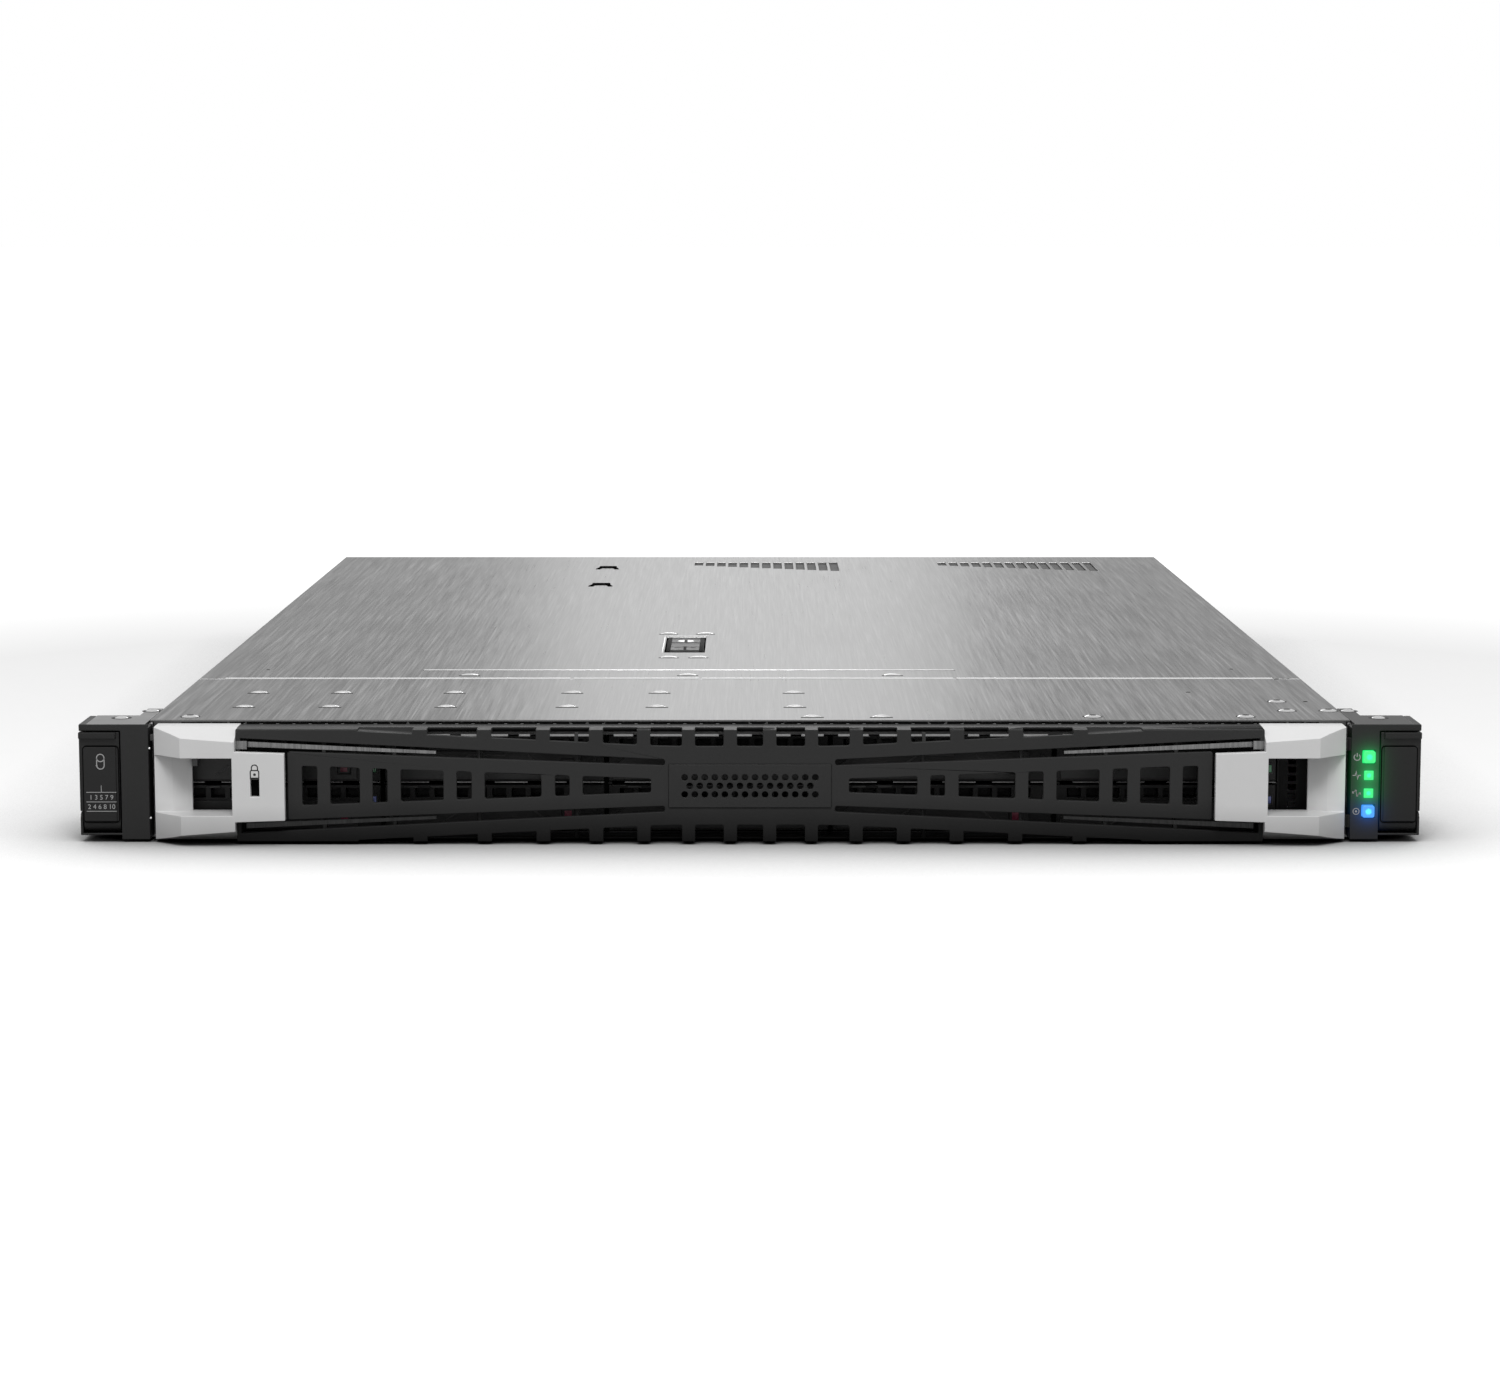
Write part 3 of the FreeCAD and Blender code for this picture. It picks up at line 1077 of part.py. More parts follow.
def build_ear(sign, word):
    name = word + "_ear_bracket"
    plate_x = (side, side + d.ear_gauge)
    parts = [block(name + "_side", across(sign, *plate_x), (front, behind(d.ear_plate_length)), (3.0, plate_under))]
    parts.append(block(name + "_flange", across(sign, side, ear_outer), flange_y, (d.ear_sill, plate_under)))
    top_z = (plate_under, ear_top)
    near = side + d.lid_gap + 0.1
    parts.append(block(name + "_top", across(sign, near, ear_outer - d.ear_edge),
                       (ahead(d.ear_front - d.ear_lip), flange_y[1]), top_z))
    parts.append(block(name + "_step", across(sign, near, side + d.ear_step_width),
                       (flange_y[1], flange_y[1] + d.ear_step_length), top_z))
    hole = rod(name + "_hole", "Y", (d.rack_hole_spacing / 2 * sign, d.chassis_height / 2), d.rack_hole_r,
               flange_y[0] - 1, flange_y[1] + 1)
    node(name, cut(name, fuse(name + "_sheet", *parts), hole))

    name = word + "_ear_housing"
    column_x = (side - d.ear_inner_lap, column_end)
    face_y = ahead(d.ear_front)
    parts = [block(name + "_column", across(sign, *column_x), (face_y, ahead(0.6)), (d.ear_bottom, plate_under))]
    rear_x = (side + d.ear_gauge + 0.1, ear_outer)
    back = block(name + "_back", across(sign, rear_x[0], column_end), (ahead(0.6), flange_y[0]),
                 (d.ear_bottom, plate_under))
    parts.append(back)
    parts.append(block(name + "_body", across(sign, column_end, ear_outer), (ahead(d.ear_recess), flange_y[0]),
                       (d.ear_sill, plate_under)))
    parts.append(block(name + "_cap", across(sign, column_end, ear_outer), (face_y, ahead(d.ear_recess)),
                       (cap_bottom, plate_under)))
    parts.append(block(name + "_sill", across(sign, column_end, ear_outer), (face_y, ahead(d.ear_recess)),
                       (d.ear_sill, d.ear_sill + 0.8)))
    parts.append(block(name + "_cheek", across(sign, ear_outer - d.lever_cheek, ear_outer),
                       (face_y, ahead(d.ear_recess)), (d.ear_sill, d.ear_sill + d.lever_cheek_height)))
    lip_z = (plate_under, ear_top)
    parts.append(block(name + "_lip", across(sign, column_x[0], ear_outer), (face_y, face_y + d.ear_lip), lip_z))
    parts.append(block(name + "_edge", across(sign, ear_outer - d.ear_edge, ear_outer),
                       (face_y, flange_y[0]), lip_z))
    w = d.ear_wall
    tools = [block(name + "_hollow", across(sign, column_x[0] + d.ear_inner_wall, column_end - w / 2),
                   (face_y + w, flange_y[0] + 1), (d.ear_bottom + w, plate_under - w))]
    tools.append(block(name + "_well", across(sign, column_end + w, ear_outer - w),
                       (ahead(d.ear_recess - w), flange_y[0] + 1), (d.ear_sill + w, plate_under - w)))
    pin_x = across(sign, column_end - w / 2 - 0.1, ear_outer + 1)
    tools.append(rod(name + "_bearing", "X", (lever_axis_y, d.lever_pivot_z), d.pin_r + d.pin_clearance, *pin_x))
    driver = rod(name + "_driver", "Y", (d.rack_hole_spacing / 2 * sign, d.chassis_height / 2), d.rack_hole_r + 1.5,
                 ahead(d.ear_recess + 1), ahead(d.ear_recess - w - 1))
    tools.append(driver)
    if sign > 0:
        for z in swing_heights():
            tools.append(rod(f"{name}_socket_{len(tools)}", "Z", (d.swing_x, ahead(d.swing_y)),
                             d.swing_nose_r + d.swing_clearance,
                             z - d.swing_nose_height / 2 - 0.3, z + d.swing_nose_height / 2 + 0.3))
        for z, width in ((d.power_z, d.button_size), (d.locator_z, d.button_size)):
            half = width / 2 + d.button_gap
            tools.append(block(f"{name}_button_{len(tools)}", (d.button_x - half, d.button_x + half),
                               (face_y - 1, face_y + w + 1), (z - half, z + half)))
        for z in (d.health_z, d.network_z):
            half = d.lens_size / 2
            tools.append(block(f"{name}_lens_{len(tools)}", (d.button_x - half, d.button_x + half),
                               (face_y - 1, face_y + w + 1), (z - half, z + half)))
    node(name, cut(name, fuse(name + "_solid", *parts), *tools))

    lever = Piece(word + "_lever")
    heel_x = (lever_x[0], ear_outer - d.lever_cheek - d.lever_gap)
    shoulder = d.ear_sill + d.lever_cheek_height + d.lever_shoulder_gap
    lever.pad("XZ", [rect(*across(sign, *lever_x), shoulder, lever_top)], *lever_y)
    lever.pad("XZ", [rect(*across(sign, *heel_x), d.lever_pivot_z, shoulder)], *lever_y)
    heel = Circle(lever_axis_y, d.lever_pivot_z, d.lever_thick / 2)
    lever.pad("YZ", [heel], *across(sign, *heel_x))
    pin = Circle(lever_axis_y, d.lever_pivot_z, d.pin_r)
    lever.pad("YZ", [pin], *across(sign, column_end - d.ear_wall / 2, ear_outer - 0.3))
    bar = rect(*across(sign, lever_x[0] + 1.2, ear_outer), lever_top - d.lever_bar, lever_top)
    lever.pad("XZ", [bar], lever_y[0] - d.lever_bar_proud, lever_y[0])
    plate = centred((lever_x[0] + ear_outer) * 0.5 * sign, 21.0, d.label_width, d.label_height)
    lever.pad("XZ", [plate], lever_y[0] - 0.4, lever_y[0])
    node(word + "_lever", lever)


bezel_middle = d.bezel_bottom + bezel_height / 2


def swing_heights():
    return [bezel_middle - d.swing_nose_z, bezel_middle + d.swing_nose_z]


def build_buttons():
    face_y = ahead(d.ear_front)
    for name, z in (("power_button", d.power_z), ("locator_button", d.locator_z)):
        button = Piece(name)
        y = (face_y - d.button_proud, face_y + d.ear_wall + 0.3)
        button.pad("XZ", [centred(d.button_x, z, d.button_size, d.button_size)], *y)
        button.round(0.8, parallel("Y"))
        button.pad("XZ", [centred(d.button_x, z, d.button_size + 0.5, d.button_size + 1.4)], y[1], y[1] + 1.0)
        button.pad("XZ", [Circle(d.button_x, z, 1.2)], y[1] + 1.0, y[0] + d.button_depth)
        node(name, button)
    lenses = []
    for i, z in enumerate((d.health_z, d.network_z)):
        half = d.lens_size / 2
        lenses.append(block(f"lens_{i}", (d.button_x - half, d.button_x + half), (face_y - 0.2, face_y + 2.0),
                            (z - half, z + half)))
    node("status_lenses", group("status_lenses", *lenses))


grille_y = ahead(d.bezel_reach - d.grille_setback)
grille_back = grille_y + d.grille_wall
bezel_back = ahead(d.bezel_gap)
BAND_WINDOWS = [(35.5, 60.0), (64.7, 69.9), (74.8, 95.1), (99.8, 105.2), (109.9, 125.2), (130.0, 135.3)]
BAND_WINDOWS += [(139.9, 150.5), (155.1, 160.6)]
RAIL_WINDOWS = [(9.46, 19.7), (24.4, 35.7), (40.5, 52.7), (57.7, 71.7), (76.7, 92.7), (97.8, 115.8)]
RAIL_WINDOWS += [(120.9, 140.6)]
BRIDGES = [62.35, 97.45, 127.6, 152.8]
BRIDGE_WIDTH = 1.2


def low_edge(x):
    """The long slot's edge on the band's side, as a half height."""
    return d.slot_inner_low + d.band_slope * (x - d.slot_inner)


def high_edge(x):
    """The long slot's edge on the rail's side, as a half height."""
    return d.slot_inner_high + d.rail_slope * (x - d.slot_inner)


def window_edge(x):
    """The rail windows' inner edge, as a half height."""
    flat = d.slot_inner_high + d.rail_band
    return flat if size(x).value < d.slot_inner.value else high_edge(x) + d.rail_band


def both_ways(points):
    """An outline and its copy on the other side of the middle."""
    return [[(u * sign, v) for u, v in points] for sign in (1, -1)]


def strip_outlines():
    """The metal strips behind the long slots: right and left, above and below."""
    x0, x1 = size(112.6), size(181.0)
    outlines = []
    for up in (1, -1):
        near = [(x, bezel_middle + (low_edge(x) + 0.9) * up) for x in (x0, x1)]
        far = [(x, bezel_middle + (high_edge(x) - 1.2) * up) for x in (x1, x0)]
        outlines += both_ways(near + far)
    return outlines


def build_grille():
    grille = Piece("bezel_frame")
    z0 = d.bezel_bottom
    z1 = z0 + bezel_height
    end = d.arm_inner
    grille.pad("XZ", [rect(-end, end, z0, z1)], grille_y, grille_back)
    upper = Piece("bezel_upper_rail")
    upper.pad("XZ", [rect(-end, end, z1 - d.lip_wall, z1)], grille_back, bezel_back)
    lower = Piece("bezel_lower_rail")
    lower.pad("XZ", [rect(-end, end, z0, z0 + d.sole_wall)], grille_back, bezel_back)
    band_end = d.tab_inner - d.tab_gap
    slot = [(d.slot_inner, low_edge(d.slot_inner)), (band_end, low_edge(band_end))]
    slot += [(band_end, -low_edge(band_end)), (d.slot_inner, -low_edge(d.slot_inner))]
    slot += [(d.slot_inner, -high_edge(d.slot_inner)), (end - 1.6, -high_edge(end))]
    slot += [(end - 1.6, high_edge(end)), (d.slot_inner, high_edge(d.slot_inner))]
    slot = [(u, v + bezel_middle) for u, v in slot]
    grille.cut("XZ", both_ways(slot), grille_y - 1, grille_back + 1)
    windows = []
    for x0, x1 in BAND_WINDOWS:
        heights = [d.band_window_base + d.band_slope * x for x in (x0, x1)]
        corners = [(x0, bezel_middle - heights[0]), (x1, bezel_middle - heights[1])]
        corners += [(x1, bezel_middle + heights[1]), (x0, bezel_middle + heights[0])]
        windows += both_ways(corners)
    grille.cut_each("XZ", windows, grille_y - 1, grille_back + 1)
    for rail, up in ((upper, 1), (lower, -1)):
        outer = bezel_middle + (bezel_height / 2 + 1) * up
        flat = window_edge(0)
        notches = [[(-4.66, bezel_middle + flat * up), (4.66, bezel_middle + flat * up), (4.66, outer), (-4.66, outer)]]
        for x0, x1 in RAIL_WINDOWS:
            corners = [(x0, bezel_middle + window_edge(x0) * up), (x1, bezel_middle + window_edge(x1) * up)]
            corners += [(x1, outer), (x0, outer)]
            notches += both_ways(corners)
        grille.cut_each("XZ", notches, grille_y - 1, grille_back + 1)
        rail.cut_each("XZ", notches, grille_back - 1, grille_y + d.rail_window_depth)
    in_window = grille_y.value + 1.0

    def window_corner(edge):
        middle = edge.CenterOfMass
        low, high = bezel_middle.value - 16, bezel_middle.value + 16
        return low < middle.z < high and middle.y < in_window + 1 and abs(middle.x) < 175

    grille.round(d.window_round, parallel("Y", window_corner))
    between_rails = (z0 + d.sole_wall, z1 - d.lip_wall)
    ribs = []
    for x in BRIDGES:
        ribs += both_ways(rect(x - BRIDGE_WIDTH / 2, x + BRIDGE_WIDTH / 2, *between_rails))
    rib_end = grille_back + 4.0
    grille.pad("XZ", ribs, grille_back, rib_end)
    posts = both_ways(rect(end - 1.6, end, *between_rails))
    grille.pad("XZ", posts, grille_back, ahead(d.bezel_gap + d.end_back_gap))
    grille.cut("XZ", strip_outlines(), grille_back, grille_back + d.strip_gauge)
    seat = centred(0, bezel_middle, d.insert_width, d.insert_height)
    grille.cut("XZ", [seat], grille_y - 1, grille_y + 1.0)
    grille.cut("XZ", [centred(0, bezel_middle, d.insert_width - 6, d.insert_height - 5)], grille_y, grille_back + 1)
    node("bezel_frame", group("bezel_frame_mouldings", grille.body, upper.body, lower.body))

    insert = Piece("bezel_insert")
    insert.pad("XZ", [seat], grille_y - d.insert_proud, grille_y + 1.0)
    columns = 14
    pitch = d.insert_hole_pitch
    first = pitch * -(columns - 1) / 2
    holes = [Circle(first, bezel_middle + pitch * v, d.insert_hole_r) for v in (-0.86, 0.86)]
    holes = insert.cut("XZ", holes, grille_y - 2, grille_y + 2)
    insert.row([holes], "X", pitch * (columns - 1), columns)
    middle_holes = [Circle(first + pitch * 0.5, bezel_middle, d.insert_hole_r)]
    middle_holes = insert.cut("XZ", middle_holes, grille_y - 2, grille_y + 2)
    insert.row([middle_holes], "X", pitch * (columns - 2), columns - 1)
    node("bezel_insert", insert)

    strips = Piece("bezel_strips")
    strips.pad("XZ", strip_outlines(), grille_back, grille_back + d.strip_gauge)
    node("bezel_strips", strips)


def build_end(sign, word):
    name = f"bezel_{word}_end"
    end = Piece(name)
    z0, z1 = d.end_bottom, end_top
    face = ahead(d.bezel_reach)
    inner, outer, corner = d.arm_inner, d.bezel_half_width, d.corner_face_start
    facet = face + d.scoop_depth
    plan = [(inner, face), (corner, face), (outer, facet), (outer, bezel_back), (inner, bezel_back)]
    end.pad("XY", [[(u * sign, v) for u, v in plan]], z0, z1)
    tab = [(d.tab_inner, -d.tab_half_height), (inner, -d.tab_root_half_height)]
    tab += [(inner, d.tab_root_half_height), (d.tab_inner, d.tab_half_height)]
    end.pad("XZ", [[(u * sign, v + bezel_middle) for u, v in tab]], face, face + d.end_plate)
    hole_z = (bezel_middle - d.hand_hole_half_height, bezel_middle + d.hand_hole_half_height)
    hole = rect(*across(sign, d.hand_hole_inner, d.hand_hole_outer), *hole_z)
    end.cut("XZ", [hole], face - 1, bezel_back + 1)
    scoop = [(d.hand_hole_outer - 1, face - 1), (outer + 1, face - 1), (outer + 1, facet), (208.0, facet + 1.2)]
    scoop += [(d.hand_hole_outer - 1, facet + 4.6)]
    end.cut("XY", [[(u * sign, v) for u, v in scoop]], *hole_z)
    for up in (1, -1):
        edge = z1 if up > 0 else z0
        rails = []
        for x, drop in ((inner - 1, d.arm_drop_inner), (outer + 1, d.arm_drop_outer)):
            slope = drop / (d.bezel_reach - d.bezel_gap - d.arm_flat)
            wedge = [(bezel_back - d.arm_flat, edge), (face - 1, edge - (drop + slope) * up)]
            wedge += [(face - 1, edge + 1.0 * up), (bezel_back - d.arm_flat, edge + 1.0 * up)]
            rails.append(end.sketch("YZ", [wedge], x * sign))
        made = end.body.newObject("PartDesign::SubtractiveLoft", f"{name}_slope_{end.count}")
        made.Profile = rails[0]
        made.Sections = [rails[1]]
        end.body.Tip = made
    back = rect(*across(sign, inner - 1, outer + 1), z0 - 1, z1 - d.end_roof)
    end.cut("XZ", [back], bezel_back - d.end_back_gap, bezel_back + 1)
    arm_x = across(sign, inner + 2.4, 206.0)
    for arm_z in ((hole_z[1] + 2.0, z1 - 2.6), (z0 + 2.6, hole_z[0] - 2.0)):
        end.cut("XZ", [rect(*arm_x, *arm_z)], bezel_back - d.end_back_gap - 7.0, bezel_back + 1)
    if sign < 0:
        slot = centred(-d.lock_slot_x, bezel_middle, d.lock_slot_width, d.lock_slot_height)
        end.cut("XZ", [slot], face - 1, face + d.end_plate + 1)
        gap = d.release_gap
        low, high = release_z(gap)
        end.cut("XY", [rect(-outer - 1, -206.0 + 1, *release_y(gap))], low, high)
        slot = rect(-hand_outer() - 0.5, -hand_outer() + 5.6, *release_y(gap))
        end.cut("XY", [slot], hole_z[1] - 0.5, hole_z[1] + 2.5)
    else:
        for z in swing_heights():
            low, high = z - d.swing_nose_height / 2, z + d.swing_nose_height / 2
            y = ahead(d.swing_y)
            neck = rect(outer - 1.0, d.swing_x, y - d.swing_neck / 2, y + d.swing_neck / 2)
            end.pad("XY", [neck], low, high)
            end.pad("XY", [Circle(d.swing_x, y, d.swing_nose_r)], low, high)
    node(name, end)


def hand_outer():
    return d.hand_hole_outer


def release_y(gap):
    """The release bar's depth, with a gap round it."""
    middle = bezel_back - d.end_back_gap - 2.4
    return (middle - d.release_bar / 2 - gap, middle + d.release_bar / 2 + gap)


def release_z(gap):
    """The release bar's height, with a gap round it."""
    middle = end_top - d.end_roof - 2.6
    return (middle - d.release_bar / 2 - gap, middle + d.release_bar / 2 + gap)


def build_release():
    release = Piece("bezel_release")
    y = release_y(0)
    low, high = release_z(0)
    pad_x = (-hand_outer() + 0.3, -hand_outer() + 2.3)
    release.pad("XY", [rect(-d.bezel_half_width - d.release_reach, pad_x[1], *y)], low, high)
    release.pad("XY", [rect(*pad_x, *y)], bezel_middle + 6.0, high)
    node("bezel_release", release)


def build_trim():
    rivets = []
    spots = [(-204, 9, 0), (124.9, 9, 0), (180.7, 9, 0), (198, 51, 0), (198, 25, 0), (213.3, 25, 0)]
    spots += [(-198, 51, 0), (-198, 25, 0), (-213.3, 25, 0)]
    spots += [(x, y, 1) for x, y in ((220.6, 26, ), (228.7, 7), (-220.6, 26), (-228.7, 7))]
    for i, (x, y, on_ear) in enumerate(spots):
        z = ear_top if on_ear else lid_top
        radius = d.rivet_r * (0.8 if on_ear and abs(x) < 222 else 1.0)
        rivets.append(rod(f"rivet_{i}", "Z", (x, behind(y)), radius, z, z + d.rivet_height, radius - 1.0))
    node("cover_rivets", group("cover_rivets", *rivets))
    studs = []
    for sign in (1, -1):
        for j, y in enumerate((120.0, 330.0, 560.0)):
            name = f"stud_{(sign + 1) // 2}_{j}"
            middle = (behind(y), d.chassis_height / 2)
            shank = rod(name + "_shank", "X", middle, d.stud_r, *across(sign, side, side + d.stud_reach))
            head_x = across(sign, side + d.stud_reach - d.stud_head, side + d.stud_reach)
            head = rod(name + "_head", "X", middle, d.stud_head_r, *head_x)
            studs.append(fuse(name, shank, head))
    node("rail_studs", group("rail_studs", *studs))


def build_all():
    build_tray()
    build_rear_wall()
    build_front_cover()
    build_access_panel()
    build_panel_latch()
    build_drive_cage()
    for column in range(5):
        for row in range(2):
            build_drive(column * 2 + row + 1, column, row)
    build_fans()
    build_board()
    build_rear_parts()
    for index in range(2):
        build_psu(index)
    for sign, word in ((-1, "left"), (1, "right")):
        build_ear(sign, word)
        build_end(sign, word)
    build_buttons()
    build_grille()
    build_release()
    build_trim()


def export_all():
    DOC.recompute()
    faults = []
    for made in DOC.Objects:
        state = set(made.State)
        if state & {"Invalid", "Error"}:
            faults.append(f"{made.Name}: {sorted(state)}")
    os.makedirs("parts", exist_ok=True)
    for name, made in NODES.items():
        shape = made.Shape
        if shape.isNull() or not shape.isValid() or not shape.Solids:
            faults.append(f"{name}: not a valid solid")
            continue
        shape.exportStep(f"parts/{name}.step")
    if faults:
        raise RuntimeError("; ".join(faults))
    print(len(NODES), "sub-parts written")


build_all()
export_all()
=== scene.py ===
"""Looks of a one-unit rack server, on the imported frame. X runs to its right, Y to its rear and Z up."""
import json
import math
import bmesh
import bpy
from mathutils import Matrix, Vector


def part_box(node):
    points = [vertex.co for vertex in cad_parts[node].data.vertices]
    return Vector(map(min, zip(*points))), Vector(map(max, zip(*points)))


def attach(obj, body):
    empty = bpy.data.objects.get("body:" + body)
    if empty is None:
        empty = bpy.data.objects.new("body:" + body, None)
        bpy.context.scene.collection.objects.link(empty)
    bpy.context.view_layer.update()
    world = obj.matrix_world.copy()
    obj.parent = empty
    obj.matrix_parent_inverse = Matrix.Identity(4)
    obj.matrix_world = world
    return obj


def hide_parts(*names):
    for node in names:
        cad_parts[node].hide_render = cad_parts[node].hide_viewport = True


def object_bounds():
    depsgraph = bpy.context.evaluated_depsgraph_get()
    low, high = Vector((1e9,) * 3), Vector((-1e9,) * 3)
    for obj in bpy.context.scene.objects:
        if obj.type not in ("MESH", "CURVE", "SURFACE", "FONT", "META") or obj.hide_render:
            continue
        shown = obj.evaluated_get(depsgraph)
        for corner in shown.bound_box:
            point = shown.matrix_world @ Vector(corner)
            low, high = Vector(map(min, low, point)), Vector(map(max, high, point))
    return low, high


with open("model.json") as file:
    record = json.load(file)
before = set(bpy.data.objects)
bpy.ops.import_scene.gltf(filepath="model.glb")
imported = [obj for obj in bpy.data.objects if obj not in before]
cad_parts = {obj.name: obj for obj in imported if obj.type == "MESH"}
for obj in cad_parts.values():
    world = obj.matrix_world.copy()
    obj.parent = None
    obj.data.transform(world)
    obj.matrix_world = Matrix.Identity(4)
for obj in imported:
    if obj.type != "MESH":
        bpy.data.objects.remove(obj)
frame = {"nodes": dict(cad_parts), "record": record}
cad_box = [list(corner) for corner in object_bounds()]
nodes = frame["nodes"]
body_of_node = {}
for body_name, members in frame["record"]["behaviour"]["bodies"].items():
    for member in members:
        body_of_node[member] = body_name
slot_of_node = {row["node"]: row["material_slot"] for row in frame["record"]["subparts"]}
MM = 0.001  # the scene is in metres, and the pieces' sizes below are in millimetres
scene = bpy.context.scene
scene.view_settings.view_transform = "Standard"


# ---- shader maths

def new_node(owner, kind, settings, values, named):
    """A node in the owner's tree; an underscore in a named input stands for a space."""
    made = owner.tree.nodes.new(kind)
    for key, value in (settings or {}).items():
        setattr(made, key, value)
    for key, value in list(enumerate(values)) + [(k.replace("_", " "), v) for k, v in named.items()]:
        owner.feed(made.inputs[key], value)
    return made


class Value:
    """A number on a surface; arithmetic on it adds Math nodes."""

    def __init__(self, finish, socket):
        self.finish, self.socket = finish, socket

    def maths(self, operation, *values, clamp=False):
        settings = {"operation": operation, "use_clamp": clamp}
        return self.finish.node("ShaderNodeMath", settings, *values)

    def __add__(self, other):
        return self.maths("ADD", self, other)

    def __sub__(self, other):
        return self.maths("SUBTRACT", self, other)

    def __rsub__(self, other):
        return self.maths("SUBTRACT", other, self)

    def __mul__(self, other):
        return self.maths("MULTIPLY", self, other)

    def __truediv__(self, other):
        return self.maths("DIVIDE", self, other)

    def __pow__(self, other):
        return self.maths("POWER", self, other)

    __radd__ = __add__
    __rmul__ = __mul__

    def exponent(self):
        return self.maths("EXPONENT", self)

    def clamped(self):
        return self.maths("ADD", self, 0.0, clamp=True)

    def least(self, other):
        return self.maths("MINIMUM", self, other)

    def most(self, other):
        return self.maths("MAXIMUM", self, other)

    def fade(self, start, end):
        """0 at start and 1 at end, held outside them; start may be above end."""
        return ((self - start) / (end - start)).clamped()


class Finish:
    """A material and its shader; every node comes from node()."""

    def __init__(self, name, colour=(0.5, 0.5, 0.5), rough=0.5, metal=0.0, **sockets):
        self.material = bpy.data.materials.new(name)
        self.material.use_nodes = True
        self.tree = self.material.node_tree
        self.shader = self.tree.nodes["Principled BSDF"]
        self.place = self.node("ShaderNodeTexCoord", out="Object")
        self.set(colour=colour, rough=rough, metal=metal)
        for socket, value in sockets.items():
            self.shader.inputs[socket.replace("_", " ")].default_value = value

    def node(self, kind, settings=None, *values, out=0, **named):
        return Value(self, new_node(self, kind, settings, values, named).outputs[out])

    def feed(self, socket, value):
        if isinstance(value, Value):
            self.tree.links.new(value.socket, socket)
        elif hasattr(socket.default_value, "__len__") and len(socket.default_value) == 4 and len(value) == 3:
            socket.default_value = (*value, 1.0)
        else:
            socket.default_value = value

    def set(self, **sockets):
        names = {"colour": "Base Color", "rough": "Roughness", "metal": "Metallic", "normal": "Normal",
                 "glow": "Emission Color"}
        for key, value in sockets.items():
            self.feed(self.shader.inputs[names[key]], value)
        return self

    def glowing(self, light):
        self.shader.inputs["Emission Strength"].default_value = 1.0
        return self.set(glow=light)

    def stretched(self, scale, shift=(0, 0, 0)):
        return self.node("ShaderNodeMapping", None, Vector=self.place, Scale=scale, Location=shift)

    def noise(self, size, detail=2.0, rough=0.5, stretch=(1, 1, 1), shift=(0, 0, 0), spread=0.0):
        """Noise whose patches are about size metres wide."""
        scale = tuple(s / size for s in stretch)
        return self.node("ShaderNodeTexNoise", None, Vector=self.stretched(scale, shift), Scale=1.0,
                         Detail=detail, Roughness=rough, Distortion=spread)

    def cells(self, size, feature="F1", out="Distance", stretch=(1, 1, 1), jitter=1.0):
        scale = tuple(s / size for s in stretch)
        return self.node("ShaderNodeTexVoronoi", {"feature": feature}, Vector=self.stretched(scale), Scale=1.0,
                         Randomness=jitter, out=out)

    def blend(self, amount, low, high):
        """Two colours mixed by a value."""
        made = self.node("ShaderNodeMix", {"data_type": "RGBA"}, out=2)
        node = made.socket.node
        self.feed(node.inputs[0], amount)
        self.feed(node.inputs[6], low)
        self.feed(node.inputs[7], high)
        return made

    def bump(self, height, depth):
        """A Bump node; depth is in metres."""
        return self.node("ShaderNodeBump", None, Height=height, Distance=depth, Strength=1.0)

    def mixed(self, red, green, blue):
        return self.node("ShaderNodeCombineColor", None, red, green, blue)

    def axis(self, letter):
        parts = self.node("ShaderNodeSeparateXYZ", None, self.place)
        return Value(self, parts.socket.node.outputs[letter])

    def distance(self, point, flat=(1, 1, 1)):
        """Metres from a point, with flattened axes left out of the count."""
        away = self.node("ShaderNodeVectorMath", {"operation": "SUBTRACT"}, self.place, point)
        away = self.node("ShaderNodeVectorMath", {"operation": "MULTIPLY"}, away, flat)
        return self.node("ShaderNodeVectorMath", {"operation": "LENGTH"}, away, out="Value")


def grey(value):
    return (value, value, value)


# ---- finishes

def brushed(name, level, along, rough=0.34, line=0.0008, length=0.05, swing=0.22, edge=1.0):
    """Steel brushed along one axis, with fine and broad streaks."""
    finish = Finish(name, metal=1.0, Specular_Tint=(edge, edge, edge, 1))
    ratio = [1.0, 1.0, 1.0]
    ratio["XYZ".index(along)] = line / length
    fine = finish.noise(line * 0.45, detail=2.0, rough=0.6, stretch=ratio)
    middling = finish.noise(line, detail=2.0, rough=0.6, stretch=ratio, shift=(7.3, 2.2, 1.1), spread=0.3)
    broad = finish.noise(line * 6, detail=2.0, stretch=ratio, shift=(3.1, 1.7, 0.4))
    cloud = finish.noise(0.09, detail=2.0, shift=(0.3, 5.0, 2.0))
    streak = (fine * 0.42 + middling * 0.48 + broad * 0.1).fade(0.33, 0.67)
    here = streak * (level * swing * 2) + level * (1 - swing) + (cloud - 0.5) * (level * 0.16)
    return finish.set(colour=finish.mixed(here, here, here), normal=finish.bump(middling, 0.00002),
                      rough=streak * 0.14 + (rough - 0.07) + (cloud - 0.5) * 0.08)


